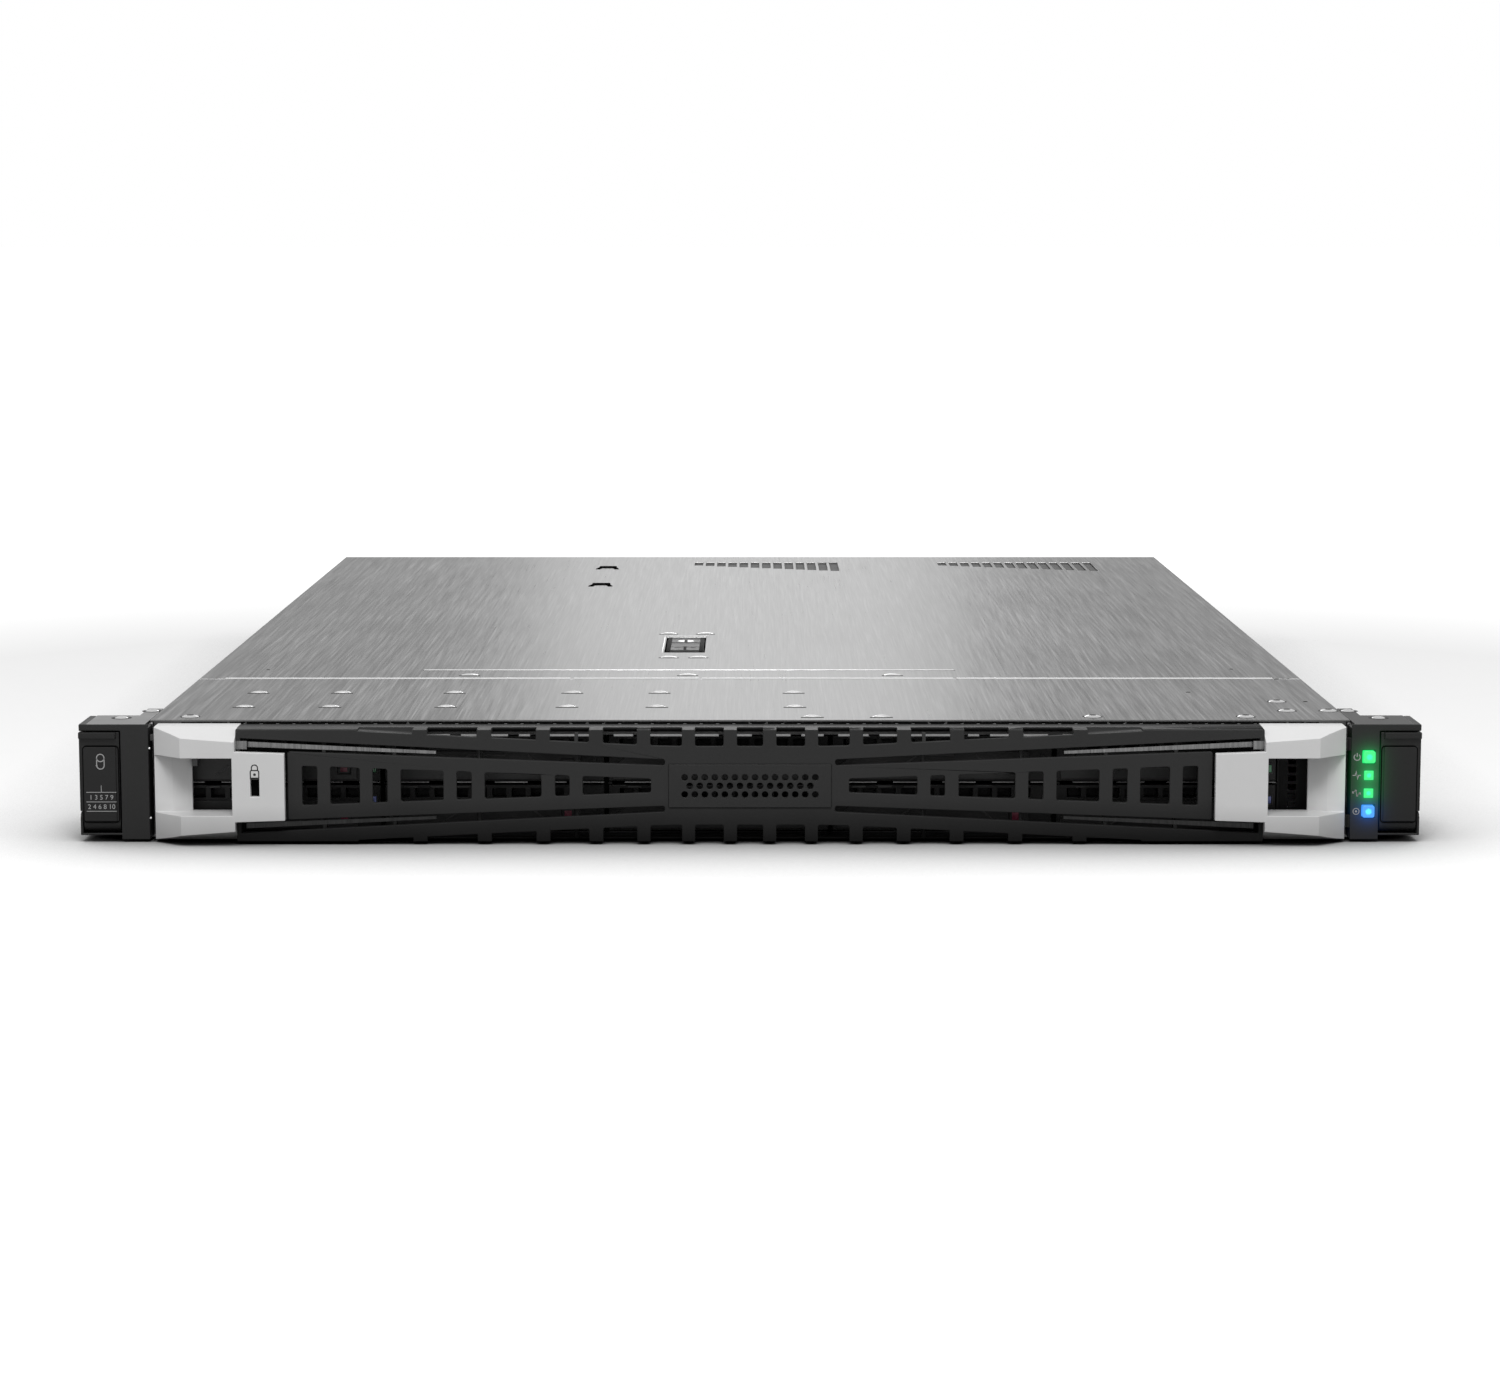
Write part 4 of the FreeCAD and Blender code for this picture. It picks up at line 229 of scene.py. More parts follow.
def zinc(name, level=0.5, rough=0.38, metal=1.0, edge=1.0):
    """Zinc-coated sheet with a faint spangle."""
    finish = Finish(name, metal=metal, Specular_Tint=(edge, edge, edge, 1))
    flakes = finish.cells(0.009, out="Color")
    flake = finish.node("ShaderNodeSeparateColor", None, flakes)
    grain = finish.noise(0.0012, detail=4.0, rough=0.7)
    cloud = finish.noise(0.06, detail=3.0)
    tone = (flake * 0.2 + grain * 0.2 + cloud * 0.28 + 0.66) * level
    return finish.set(colour=finish.mixed(tone, tone, tone * 1.015), normal=finish.bump(grain, 0.00001),
                      rough=grain * 0.12 + flake * 0.08 + (rough - 0.1))


def moulded(name, colour, rough=0.55, grain=0.00045, depth=0.00003, swing=0.10, gloss=0.5):
    """Moulded plastic with a fine spark-eroded grain and light handling marks."""
    finish = Finish(name, metal=0.0, Specular_IOR_Level=gloss)
    pits = finish.noise(grain, detail=2.0, rough=0.6)
    cloud = finish.noise(0.03, detail=2.0)
    handling = finish.noise(0.012, detail=4.0, rough=0.65, shift=(2, 7, 1))
    low = tuple(c * (1 - swing) for c in colour)
    high = tuple(min(1.0, c * (1 + swing)) for c in colour)
    shade = finish.blend((pits * 0.4 + cloud * 0.6).fade(0.25, 0.75), low, high)
    return finish.set(colour=shade, rough=handling * 0.14 + (rough - 0.07), normal=finish.bump(pits, depth))


def painted_shade_below(finish, colour, least, low=0.001, high=0.017):
    """Painted shade: the bezel's plastic deepens towards its lower edge, where less light falls."""
    cloud = finish.noise(0.02, detail=3.0)
    shade_lift = (finish.axis("Z") + (cloud - 0.5) * 0.002).fade(low, high) * (1 - least) + least
    tone = shade_lift * (cloud * 0.08 + 0.96) * colour[0]
    return finish.set(colour=finish.mixed(tone, tone, tone))


LENS_X = 222.7 * MM
LENS_Y = -340.6 * MM
GREEN_LIGHTS = [30.9 * MM, 24.2 * MM, 17.7 * MM]
BLUE_LIGHT = 11.1 * MM
LENS_HALF = 1.7 * MM
BUTTON_HALF = 2.2 * MM


def painted_lamp_glow(finish, level, reach=0.0019):
    """Painted light: a glow put into the surface, standing for the soft light that the four lamps throw on what
    is round them.
    """
    green = None
    for z in GREEN_LIGHTS:
        here = (finish.distance((LENS_X, LENS_Y, z)) * (-1 / reach)).exponent()
        green = here if green is None else green + here
    blue = (finish.distance((LENS_X, LENS_Y, BLUE_LIGHT)) * (-1 / reach)).exponent()
    light = [green * (g * level) + blue * (b * level) for g, b in ((0.02, 0.02), (1.0, 0.22), (0.22, 1.1))]
    return finish.glowing(finish.mixed(*light))


def lamp(name, rim, core, heights, half):
    """A lit lens, richer at its rim, with a paler round core."""
    finish = Finish(name, colour=(0.02, 0.10, 0.05), rough=0.25)
    near = finish.distance((LENS_X, 0, heights[0]), (1, 0, 1))
    for height in heights[1:]:
        near = near.least(finish.distance((LENS_X, 0, height), (1, 0, 1)))
    grain = finish.cells(0.0006)
    rimward = (near + (grain - 0.5) * 0.0003).fade(half * 0.30, half * 0.62)
    return finish.glowing(finish.blend(rimward, core, rim))


def board(name, colour):
    """Solder resist over tracks and vias."""
    finish = Finish(name, metal=0.0, IOR=1.5)
    lanes = finish.cells(0.004, feature="DISTANCE_TO_EDGE", stretch=(1, 0.35, 1), jitter=0.4)
    vias = finish.cells(0.0035)
    ground = finish.noise(0.05, detail=3.0)
    copper = (lanes.fade(0.10, 0.05) * 0.8 + vias.fade(0.13, 0.09)).clamped()
    low = finish.blend(ground.fade(0.3, 0.7), tuple(c * 0.8 for c in colour), colour)
    track = (0.03, 0.13, 0.05)
    return finish.set(colour=finish.blend(copper * 0.55, low, track), rough=ground * 0.15 + 0.26,
                      normal=finish.bump(copper, 0.00004))


def windings(name, colour, rough=0.3):
    """Smooth dark body of a chip or a capacitor, with a slightly paler speckle."""
    finish = Finish(name, metal=0.0)
    speck = finish.noise(0.0008, detail=3.0, rough=0.7)
    shade = finish.blend(speck, tuple(c * 0.85 for c in colour), tuple(c * 1.2 for c in colour))
    return finish.set(colour=shade, rough=speck * 0.16 + rough, normal=finish.bump(speck, 0.00002))


GREEN_RIM, GREEN_CORE = (0.03, 0.86, 0.20), (0.03, 0.93, 0.56)
BLUE_RIM, BLUE_CORE = (0.06, 0.30, 1.0), (0.12, 0.95, 1.0)
BOARD_GREEN = (0.010, 0.045, 0.020)
PRINT = {"grain": 0.0002, "depth": 0.000004}
LINE = {"grain": 0.0003, "depth": 0.000004}
EAR_SHEET = {"rough": 0.38, "line": 0.0004, "length": 0.02, "edge": 0.45}
BRUSHED = {
    "lid_steel": (0.46, "Y", {"line": 0.0011, "length": 0.08, "swing": 0.26, "edge": 0.34}),
    # painted shade: a darker copy of the lid steel for the front lip
    "lip_steel": (0.10, "X", {"rough": 0.5, "line": 0.0004, "length": 0.02, "edge": 0.4}),
    "ear_steel": (0.16, "X", EAR_SHEET),
    # painted light: a paler copy of the ear steel for the left ear's top
    "ear_steel_lit": (0.42, "X", EAR_SHEET),
    "rivet_steel": (0.52, "X", {"rough": 0.30, "line": 0.0003, "length": 0.003, "swing": 0.08}),
    # painted highlight: a paler copy of the lid steel for the bridges, the crease and the latch rims
    "bridge_steel": (0.62, "X", {"line": 0.0003, "length": 0.004, "swing": 0.06}),
    "strip_steel": (0.14, "Z", {"line": 0.0007, "length": 0.02, "swing": 0.5}),
    "strip_shade": (0.04, "Z", {"rough": 0.5, "line": 0.0007, "length": 0.02, "swing": 0.4, "edge": 0.3}),
    "sink_aluminium": (0.70, "Y", {"rough": 0.3}),
    "can_steel": (0.66, "Z", {"rough": 0.3, "line": 0.0003, "length": 0.004}),
}
ZINC = {
    "tray_steel": (0.46, 0.36), "cage_steel": (0.02, 0.6, 0.3, 0.2), "cpu_steel": (0.6, 0.3),
    "riser_steel": (0.5, 0.36), "cover_steel": (0.5, 0.36), "port_metal": (0.62, 0.26),
    "card_metal": (0.55, 0.3), "psu_steel": (0.5, 0.34),
}
BOARDS = {"board_green": BOARD_GREEN, "backplane_green": BOARD_GREEN, "riser_green": BOARD_GREEN,
          "memory_green": (0.008, 0.05, 0.022)}
MOULDED = {
    "ear_plastic": (grey(0.017), 0.50, {"gloss": 0.2}),
    "lever_plastic": (grey(0.011), 0.46, {"gloss": 0.2}),
    "grille_plastic": (grey(0.033), 0.50, {"gloss": 0.1}),
    "insert_plate": (grey(0.013), 0.40, {"gloss": 0.25}),
    "end_silver": (grey(0.70), 0.40, {"grain": 0.0003, "depth": 0.000008, "swing": 0.04}),
    "release_plastic": (grey(0.02), 0.45, {}),
    "socket_plastic": (grey(0.02), 0.4, {}),
    "baffle_plastic": (grey(0.018), 0.42, {}),
    "fan_plastic": (grey(0.018), 0.45, {}),
    "rotor_plastic": (grey(0.024), 0.38, {}),
    "handle_plastic": (grey(0.02), 0.45, {}),
    "catch_plastic": ((0.16, 0.012, 0.02), 0.42, {}),
    "drive_black": (grey(0.006), 0.5, {"gloss": 0.25}),
    "latch_grey": (grey(0.07), 0.5, {"gloss": 0.15}),
    "tub_black": (grey(0.006), 0.7, {"gloss": 0.05}),
    # finishes of small fittings
    "printed_grey": (grey(0.36), 0.6, PRINT),
    "shadow_black": (grey(0.004), 0.9, {**PRINT, "gloss": 0.0}),
    # painted shade at bridge slits, rivets, the crease and the lock screw's slot; also the printed lock symbol
    "shadow_grey": (grey(0.05), 0.7, {**PRINT, "gloss": 0.1}),
    "vent_mesh": (grey(0.16), 0.8, {"grain": 0.0006, "depth": 0.00006, "gloss": 0.05}),
    "nose_black": (grey(0.012), 0.6, {"gloss": 0.2}),
    # painted shade: black on the lever grooves and on a low band of the ear housings
    "groove_black": (grey(0.004), 0.8, {**PRINT, "gloss": 0.0}),
    "drive_lever": (grey(0.012), 0.45, {"gloss": 0.3}),
    "drive_trim": (grey(0.030), 0.45, {"gloss": 0.3}),
    "touch_red": ((0.12, 0.006, 0.025), 0.4, {}),
    # painted highlight: pale strips and heads standing for lit edges and bosses
    "bright_line": (grey(0.86), 0.35, {**LINE, "swing": 0.03}),
    # painted highlights: the pale edges of the drive bays and their rows
    "bay_line": (grey(0.90), 0.4, {**LINE, "swing": 0.03}),
    "row_line": (grey(0.30), 0.4, LINE),
    "off_lens_green": ((0.14, 0.42, 0.22), 0.2, PRINT),
    "off_lens_blue": ((0.20, 0.24, 0.56), 0.2, PRINT),
    "coil_grey": (grey(0.10), 0.45, {}),
    "hub_label": (grey(0.55), 0.5, LINE),
    "header_white": ((0.62, 0.60, 0.55), 0.5, {}),
}
finishes = {}


def make_finishes():
    for name, (level, along, more) in BRUSHED.items():
        finishes[name] = brushed(name, level, along, **more)
    for name, values in ZINC.items():
        finishes[name] = zinc(name, *values)
    for name, colour in BOARDS.items():
        finishes[name] = board(name, colour)
    for name, (colour, rough, more) in MOULDED.items():
        finishes[name] = moulded(name, colour, rough, **more)
    finishes["chip_black"] = windings("chip_black", grey(0.022), 0.32)
    finishes["lens_green"] = lamp("lens_green", GREEN_RIM, GREEN_CORE, GREEN_LIGHTS[1:], LENS_HALF)
    finishes["button_green"] = lamp("button_green", GREEN_RIM, GREEN_CORE, GREEN_LIGHTS[:1], BUTTON_HALF)
    finishes["button_blue"] = lamp("button_blue", BLUE_RIM, BLUE_CORE, [BLUE_LIGHT], BUTTON_HALF)
    # painted shade: the grille plastic and the silver ends darken towards their lower edge
    painted_shade_below(finishes["grille_plastic"], grey(0.033), 0.10)
    painted_shade_below(finishes["end_silver"], grey(0.69), 0.62, 0.003, 0.015)
    # painted light: the lamps' glow on the ear, the lever and the silver ends
    for name, level in (("ear_plastic", 0.55), ("lever_plastic", 0.4), ("end_silver", 4.5)):
        painted_lamp_glow(finishes[name], level)
    # painted highlight: the bay edges glow a little
    finishes["bay_line"].glowing(grey(0.16))


# ---- making meshes

def wear(piece, *names):
    piece.data.materials.clear()
    for name in names:
        piece.data.materials.append(finishes[name].material)
    return piece


def shade_softly(piece, angle):
    for face in piece.data.polygons:
        face.use_smooth = True
    piece.data.set_sharp_from_angle(angle=math.radians(angle))


def settle(piece, body, finish, smooth=30):
    """Gives a finished mesh its finish, its body and its soft shading."""
    wear(piece, finish)
    shade_softly(piece, smooth)
    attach(piece, body)
    return piece


def piece_from(mesh, name):
    data = bpy.data.meshes.new(name)
    mesh.to_mesh(data)
    mesh.free()
    piece = bpy.data.objects.new(name, data)
    scene.collection.objects.link(piece)
    return piece


def plain_mesh(piece):
    """The piece with its modifiers worked in."""
    data = bpy.data.meshes.new_from_object(piece.evaluated_get(bpy.context.evaluated_depsgraph_get()))
    piece.modifiers.clear()
    piece.data = data
    return piece


def cad_copy(node):
    mesh = bmesh.new()
    mesh.from_mesh(nodes[node].data)
    bmesh.ops.remove_doubles(mesh, verts=mesh.verts, dist=1e-6)
    return mesh


def volume(data):
    mesh = bmesh.new()
    mesh.from_mesh(data)
    found = mesh.calc_volume()
    mesh.free()
    return found


def softened(node, width=0.2, angle=35, segments=2, only=None, second=None, mesh=None):
    """A copy of a CAD node with its edges rounded, which stands for it. only picks edges by their middle and
    second gives faces another finish: (finish, test of the face's middle)."""
    mesh = mesh or cad_copy(node)
    bmesh.ops.dissolve_limit(mesh, angle_limit=math.radians(2), verts=mesh.verts, edges=mesh.edges)
    weight = mesh.edges.layers.float.new("bevel_weight_edge")
    for edge in mesh.edges:
        if len(edge.link_faces) == 2 and edge.calc_face_angle(0) > math.radians(angle):
            middle = (edge.verts[0].co + edge.verts[1].co) / 2
            if only is None or only(middle):
                edge[weight] = 1.0
    piece = piece_from(mesh, node + "_soft")
    sharp = piece.data
    room = volume(sharp)
    while True:
        bevel = piece.modifiers.new("edges", "BEVEL")
        bevel.width = width * MM
        bevel.segments = segments
        bevel.limit_method = "WEIGHT"
        bevel.use_clamp_overlap = False
        plain_mesh(piece)
        if width < 0.06 or abs(volume(piece.data) - room) < 0.02 * room:
            break
        width, piece.data = width * 0.6, sharp
    slot = slot_of_node[node]
    shade_softly(piece, 50)
    even = piece.modifiers.new("even", "WEIGHTED_NORMAL")
    even.keep_sharp = True
    even.weight = 90
    plain_mesh(piece)
    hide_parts(node)
    wear(piece, slot, *([second[0]] if second else []))
    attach(piece, body_of_node[node])
    if second:
        for face in piece.data.polygons:
            if second[1](face.center):
                face.material_index = 1
    return piece


class Shape:
    """Gathers simple closed forms into one piece. Lengths are millimetres."""

    def __init__(self, name):
        self.name = name
        self.mesh = bmesh.new()

    def spot(self, axis, level, u, v):
        """A corner at a level on one axis and at (u, v) in the other two, in their order."""
        point = [u * MM, v * MM]
        point.insert("XYZ".index(axis), level * MM)
        return self.mesh.verts.new(point)

    def closed(self, loops):
        made = [self.mesh.faces.new(loop) for loop in loops]
        bmesh.ops.recalc_face_normals(self.mesh, faces=made)
        return self

    def prism(self, outline, axis, start, end):
        """An outline in the other two axes, in their order, carried along one axis."""
        low, high = [[self.spot(axis, level, u, v) for u, v in outline] for level in (start, end)]
        n = len(outline)
        walls = [(low[i], low[(i + 1) % n], high[(i + 1) % n], high[i]) for i in range(n)]
        return self.closed([low[::-1], high] + walls)

    def box(self, x, y, z):
        return self.prism([(y[0], z[0]), (y[1], z[0]), (y[1], z[1]), (y[0], z[1])], "X", *x)

    def stroke(self, points, width, axis, start, end, joined=False):
        """A drawn line of some width, as one thin ribbon with mitred corners."""
        count = len(points)
        rows = []
        for i, (u, v) in enumerate(points):
            before, after = points[i - 1], points[(i + 1) % count]
            if i == 0 and not joined:
                before = (2 * u - after[0], 2 * v - after[1])
            if i == count - 1 and not joined:
                after = (2 * u - before[0], 2 * v - before[1])
            a = Vector((u - before[0], v - before[1])).normalized()
            b = Vector((after[0] - u, after[1] - v)).normalized()
            across = Vector((-a.y - b.y, a.x + b.x)).normalized()
            reach = width / 2 / max(0.4, across.dot(Vector((-a.y, a.x))))
            left = (u + across.x * reach, v + across.y * reach)
            right = (u - across.x * reach, v - across.y * reach)
            rows.append([self.spot(axis, level, *side)
                         for side, level in ((left, start), (right, start), (right, end), (left, end))])
        loops = []
        for i in range(count if joined else count - 1):
            row, following = rows[i], rows[(i + 1) % count]
            loops += [(row[k], row[(k + 1) % 4], following[(k + 1) % 4], following[k]) for k in range(4)]
        return self.closed(loops if joined else loops + [rows[0][::-1], rows[-1]])

    def turned(self, profile, axis, middle, sides=24):
        """A profile of (radius, level) pairs turned about an axis through a middle point (u, v)."""
        rings = []
        for radius, level in profile:
            angles = [2 * math.pi * k / sides for k in range(sides if radius > 0 else 1)]
            around = [(middle[0] + radius * math.cos(a), middle[1] + radius * math.sin(a)) for a in angles]
            rings.append([self.spot(axis, level, u, v) for u, v in around])
        loops = []
        for low, high in zip(rings, rings[1:]):
            a, b = len(low), len(high)
            for k in range(sides):
                loop = list(dict.fromkeys((low[k % a], low[(k + 1) % a], high[(k + 1) % b], high[k % b])))
                if len(loop) > 2:
                    loops.append(loop)
        return self.closed(loops + [ring for ring in (rings[0], rings[-1]) if len(ring) > 1])

    def done(self, body, finish, bevel=0.0, slot=None):
        """Ends the piece, with its edges rounded if bevel is given."""
        piece = piece_from(self.mesh, self.name)
        if bevel:
            edges = piece.modifiers.new("edges", "BEVEL")
            edges.width, edges.segments = bevel * MM, 2
            edges.limit_method, edges.angle_limit = "ANGLE", math.radians(35)
            edges.use_clamp_overlap = True
            plain_mesh(piece)
        return settle(piece, body, finish)


def arc(u, v, radius, start, end, steps=18):
    """Points of an arc, angles in degrees."""
    angles = [math.radians(start + (end - start) * i / steps) for i in range(steps + 1)]
    return [(u + radius * math.cos(a), v + radius * math.sin(a)) for a in angles]


def rounded(u0, u1, v0, v1, radius, steps=5):
    """Outline of a rectangle with round corners."""
    u0, u1, v0, v1 = u0 + radius, u1 - radius, v0 + radius, v1 - radius
    corners = ((u1, v1), (u0, v1), (u0, v0), (u1, v0))
    return [point for i, (u, v) in enumerate(corners)
            for point in arc(u, v, radius, 90 * i, 90 * i + 90, steps)]


# ---- what repeats, by Geometry Nodes

class Tree:
    """A geometry node tree with named sizes."""

    def __init__(self, name, **sizes):
        self.tree = bpy.data.node_groups.new(name, "GeometryNodeTree")
        self.tree.interface.new_socket("Geometry", in_out="INPUT", socket_type="NodeSocketGeometry")
        self.tree.interface.new_socket("Geometry", in_out="OUTPUT", socket_type="NodeSocketGeometry")
        for size, value in sizes.items():
            socket = self.tree.interface.new_socket(size.replace("_", " "), in_out="INPUT",
                                                    socket_type="NodeSocketFloat")
            socket.default_value = value
        self.given = self.tree.nodes.new("NodeGroupInput")
        self.result = self.tree.nodes.new("NodeGroupOutput")

    def size(self, name):
        return self.given.outputs[name.replace("_", " ")]

    def node(self, kind, settings=None, *values, out=0, **named):
        return new_node(self, kind, settings, values, named).outputs[out]

    def feed(self, socket, value):
        if isinstance(value, bpy.types.NodeSocket):
            self.tree.links.new(value, socket)
        elif isinstance(value, list):
            for one in value:
                self.tree.links.new(one, socket)
        else:
            socket.default_value = value

    def maths(self, operation, *values):
        return self.node("ShaderNodeMath", {"operation": operation}, *values)

    def times(self, a, b):
        return self.maths("MULTIPLY", a, b)

    def triple(self, x, y, z):
        return self.node("ShaderNodeCombineXYZ", None, x, y, z)

    def join(self, *parts):
        return self.node("GeometryNodeJoinGeometry", None, Geometry=list(parts))

    def on_points(self, thing, finish):
        """The thing on every point of the given mesh, made real and given its finish."""
        points = self.node("GeometryNodeMeshToPoints", None, Mesh=self.given.outputs[0])
        many = self.node("GeometryNodeInstanceOnPoints", None, Points=points, Instance=thing)
        real = self.node("GeometryNodeRealizeInstances", None, Geometry=many)
        ended = self.node("GeometryNodeSetMaterial", None, Geometry=real, Material=finishes[finish].material)
        self.tree.links.new(ended, self.result.inputs[0])
        return self


def repeated(name, tree, points, body, finish, slot=None, smooth=35, **sizes):
    """A tree's thing at each point (millimetres), as one plain mesh."""
    data = bpy.data.meshes.new(name)
    data.from_pydata([tuple(c * MM for c in p) for p in points], [], [])
    piece = bpy.data.objects.new(name, data)
    scene.collection.objects.link(piece)
    grown = piece.modifiers.new("grown", "NODES")
    grown.node_group = tree.tree
    for item in tree.tree.interface.items_tree:
        key = item.name.replace(" ", "_")
        if item.in_out == "INPUT" and key in sizes:
            grown[item.identifier] = sizes[key] * MM
    plain_mesh(piece)
    return settle(piece, body, finish, smooth=smooth)


def block_tree(name, finish):
    tree = Tree(name, Width=0.006, Length=0.002, Height=0.001)
    cube = tree.node("GeometryNodeMeshCube", None,
                     Size=tree.triple(tree.size("Width"), tree.size("Length"), tree.size("Height")))
    return tree.on_points(cube, finish)


def bridge_tree(name, finish):
    """A pressed bridge: a strip of the sheet raised in an arch."""
    tree = Tree(name, Width=0.0062, Length=0.0024, Height=0.0006)
    block = tree.node("GeometryNodeMeshCube", None, Size=(2.0, 2.0, 2.0),
                      Vertices_X=15, Vertices_Y=7, Vertices_Z=2)
    x, y, z = tree.node("ShaderNodeSeparateXYZ", None, tree.node("GeometryNodeInputPosition")).node.outputs

    def dome(socket, power):
        return tree.maths("SUBTRACT", 1.0, tree.maths("POWER", tree.maths("ABSOLUTE", socket), power))

    arch = tree.times(dome(x, 2.6), dome(y, 4.0))
    high = tree.times(tree.times(arch, z), tree.size("Height"))
    wide = tree.times(x, tree.times(tree.size("Width"), 0.5))
    long = tree.times(y, tree.times(tree.size("Length"), 0.5))
    arched = tree.node("GeometryNodeSetPosition", None, Geometry=block, Position=tree.triple(wide, long, high))
    return tree.on_points(arched, finish)


def can_tree(name, finish):
    """An upright can, such as a capacitor or a post."""
    tree = Tree(name, Radius=0.003, Height=0.008)
    radius, height = tree.size("Radius"), tree.size("Height")
    can, rim = [tree.node("GeometryNodeMeshCylinder", {"fill_type": "NGON"}, Vertices=20, Radius=r, Depth=d)
                for r, d in ((radius, height), (tree.times(radius, 0.86), tree.times(height, 1.05)))]
    return tree.on_points(tree.join(can, rim), finish)


def rivet_tree(name, finish):
    """A pressed rivet: a low dome with a dimple in its middle."""
    tree = Tree(name, Radius=0.003, Height=0.0007)
    disc = tree.node("GeometryNodeMeshCylinder", {"fill_type": "TRIANGLE_FAN"}, Vertices=32, Side_Segments=1,
                     Fill_Segments=9, Radius=1.0, Depth=2.0)
    x, y, z = tree.node("ShaderNodeSeparateXYZ", None, tree.node("GeometryNodeInputPosition")).node.outputs
    out_from = tree.node("ShaderNodeVectorMath", {"operation": "LENGTH"}, tree.triple(x, y, 0.0), out=1)
    crown = tree.maths("SUBTRACT", 1.0, tree.maths("POWER", out_from, 3.2))
    falling = tree.maths("POWER", tree.times(out_from, 4.2), 2.0)
    dimple = tree.maths("EXPONENT", tree.times(falling, -1.0))
    rise = tree.maths("SUBTRACT", crown, tree.times(dimple, 0.6))
    above = tree.maths("MAXIMUM", z, -0.12)
    high = tree.times(tree.times(rise, above), tree.size("Height"))
    radius = tree.size("Radius")
    place = tree.triple(tree.times(x, radius), tree.times(y, radius), high)
    return tree.on_points(tree.node("GeometryNodeSetPosition", None, Geometry=disc, Position=place), finish)


# ---- covers, rivets and latch

LID = 42.9  # top of the covers
SEAM = -209.3  # front edge of the access panel
EAR_TOP = 42.68
BRIDGES_FRONT = [(x, y) for x in (-188, -156, -113, -68, -34.6, 16.7) for y in (-252, -293)]
BRIDGES_FRONT += [(22.7, -321), (47.8, -321)]
BRIDGES_PANEL = [(-111.5, -197), (-24.8, -197), (56.6, -197)]
BRIDGES_LATCH = [(-35.6, -49.5), (-19.5, -49.5), (-33.6, -137), (-21.4, -137)]
COVER_DOTS = [(168, -251), (208.7, -279), (207.6, -210.4)]
PANEL_DOTS = [(194, -178), (-194, -180), (212.4, -208.2)]
RIVETS = [(-204, -321), (124.9, -321), (180.7, -321), (198, -279), (198, -305), (213.3, -305)]
EAR_RIVETS = [(-220.6, -304), (220.6, -304), (-228.7, -323), (228.7, -323)]


def flat_cover(node):
    """A cover's copy without the plain pads on its top, where shaped ones go."""
    mesh = cad_copy(node)
    everything = mesh.verts[:] + mesh.edges[:] + mesh.faces[:]
    bmesh.ops.bisect_plane(mesh, geom=everything, plane_co=(0, 0, (LID + 0.02) * MM), plane_no=(0, 0, 1),
                           clear_outer=True)
    bmesh.ops.holes_fill(mesh, edges=[edge for edge in mesh.edges if edge.is_boundary], sides=0)
    for vert in mesh.verts:
        if vert.co.z > (LID + 0.01) * MM:
            vert.co.z = LID * MM
    bmesh.ops.remove_doubles(mesh, verts=mesh.verts, dist=1e-6)
    # painted shade: the lip's front faces take a darker copy of the lid steel
    lip_shade = ("lip_steel", lambda at: at.y < -329.7 * MM and at.z < (LID - 0.02) * MM)
    return softened(node, 0.22, mesh=mesh, second=lip_shade if node == "front_top_cover" else None)


def at_height(points, z=LID, back=0.0):
    return [(x, y + back, z) for x, y in points]


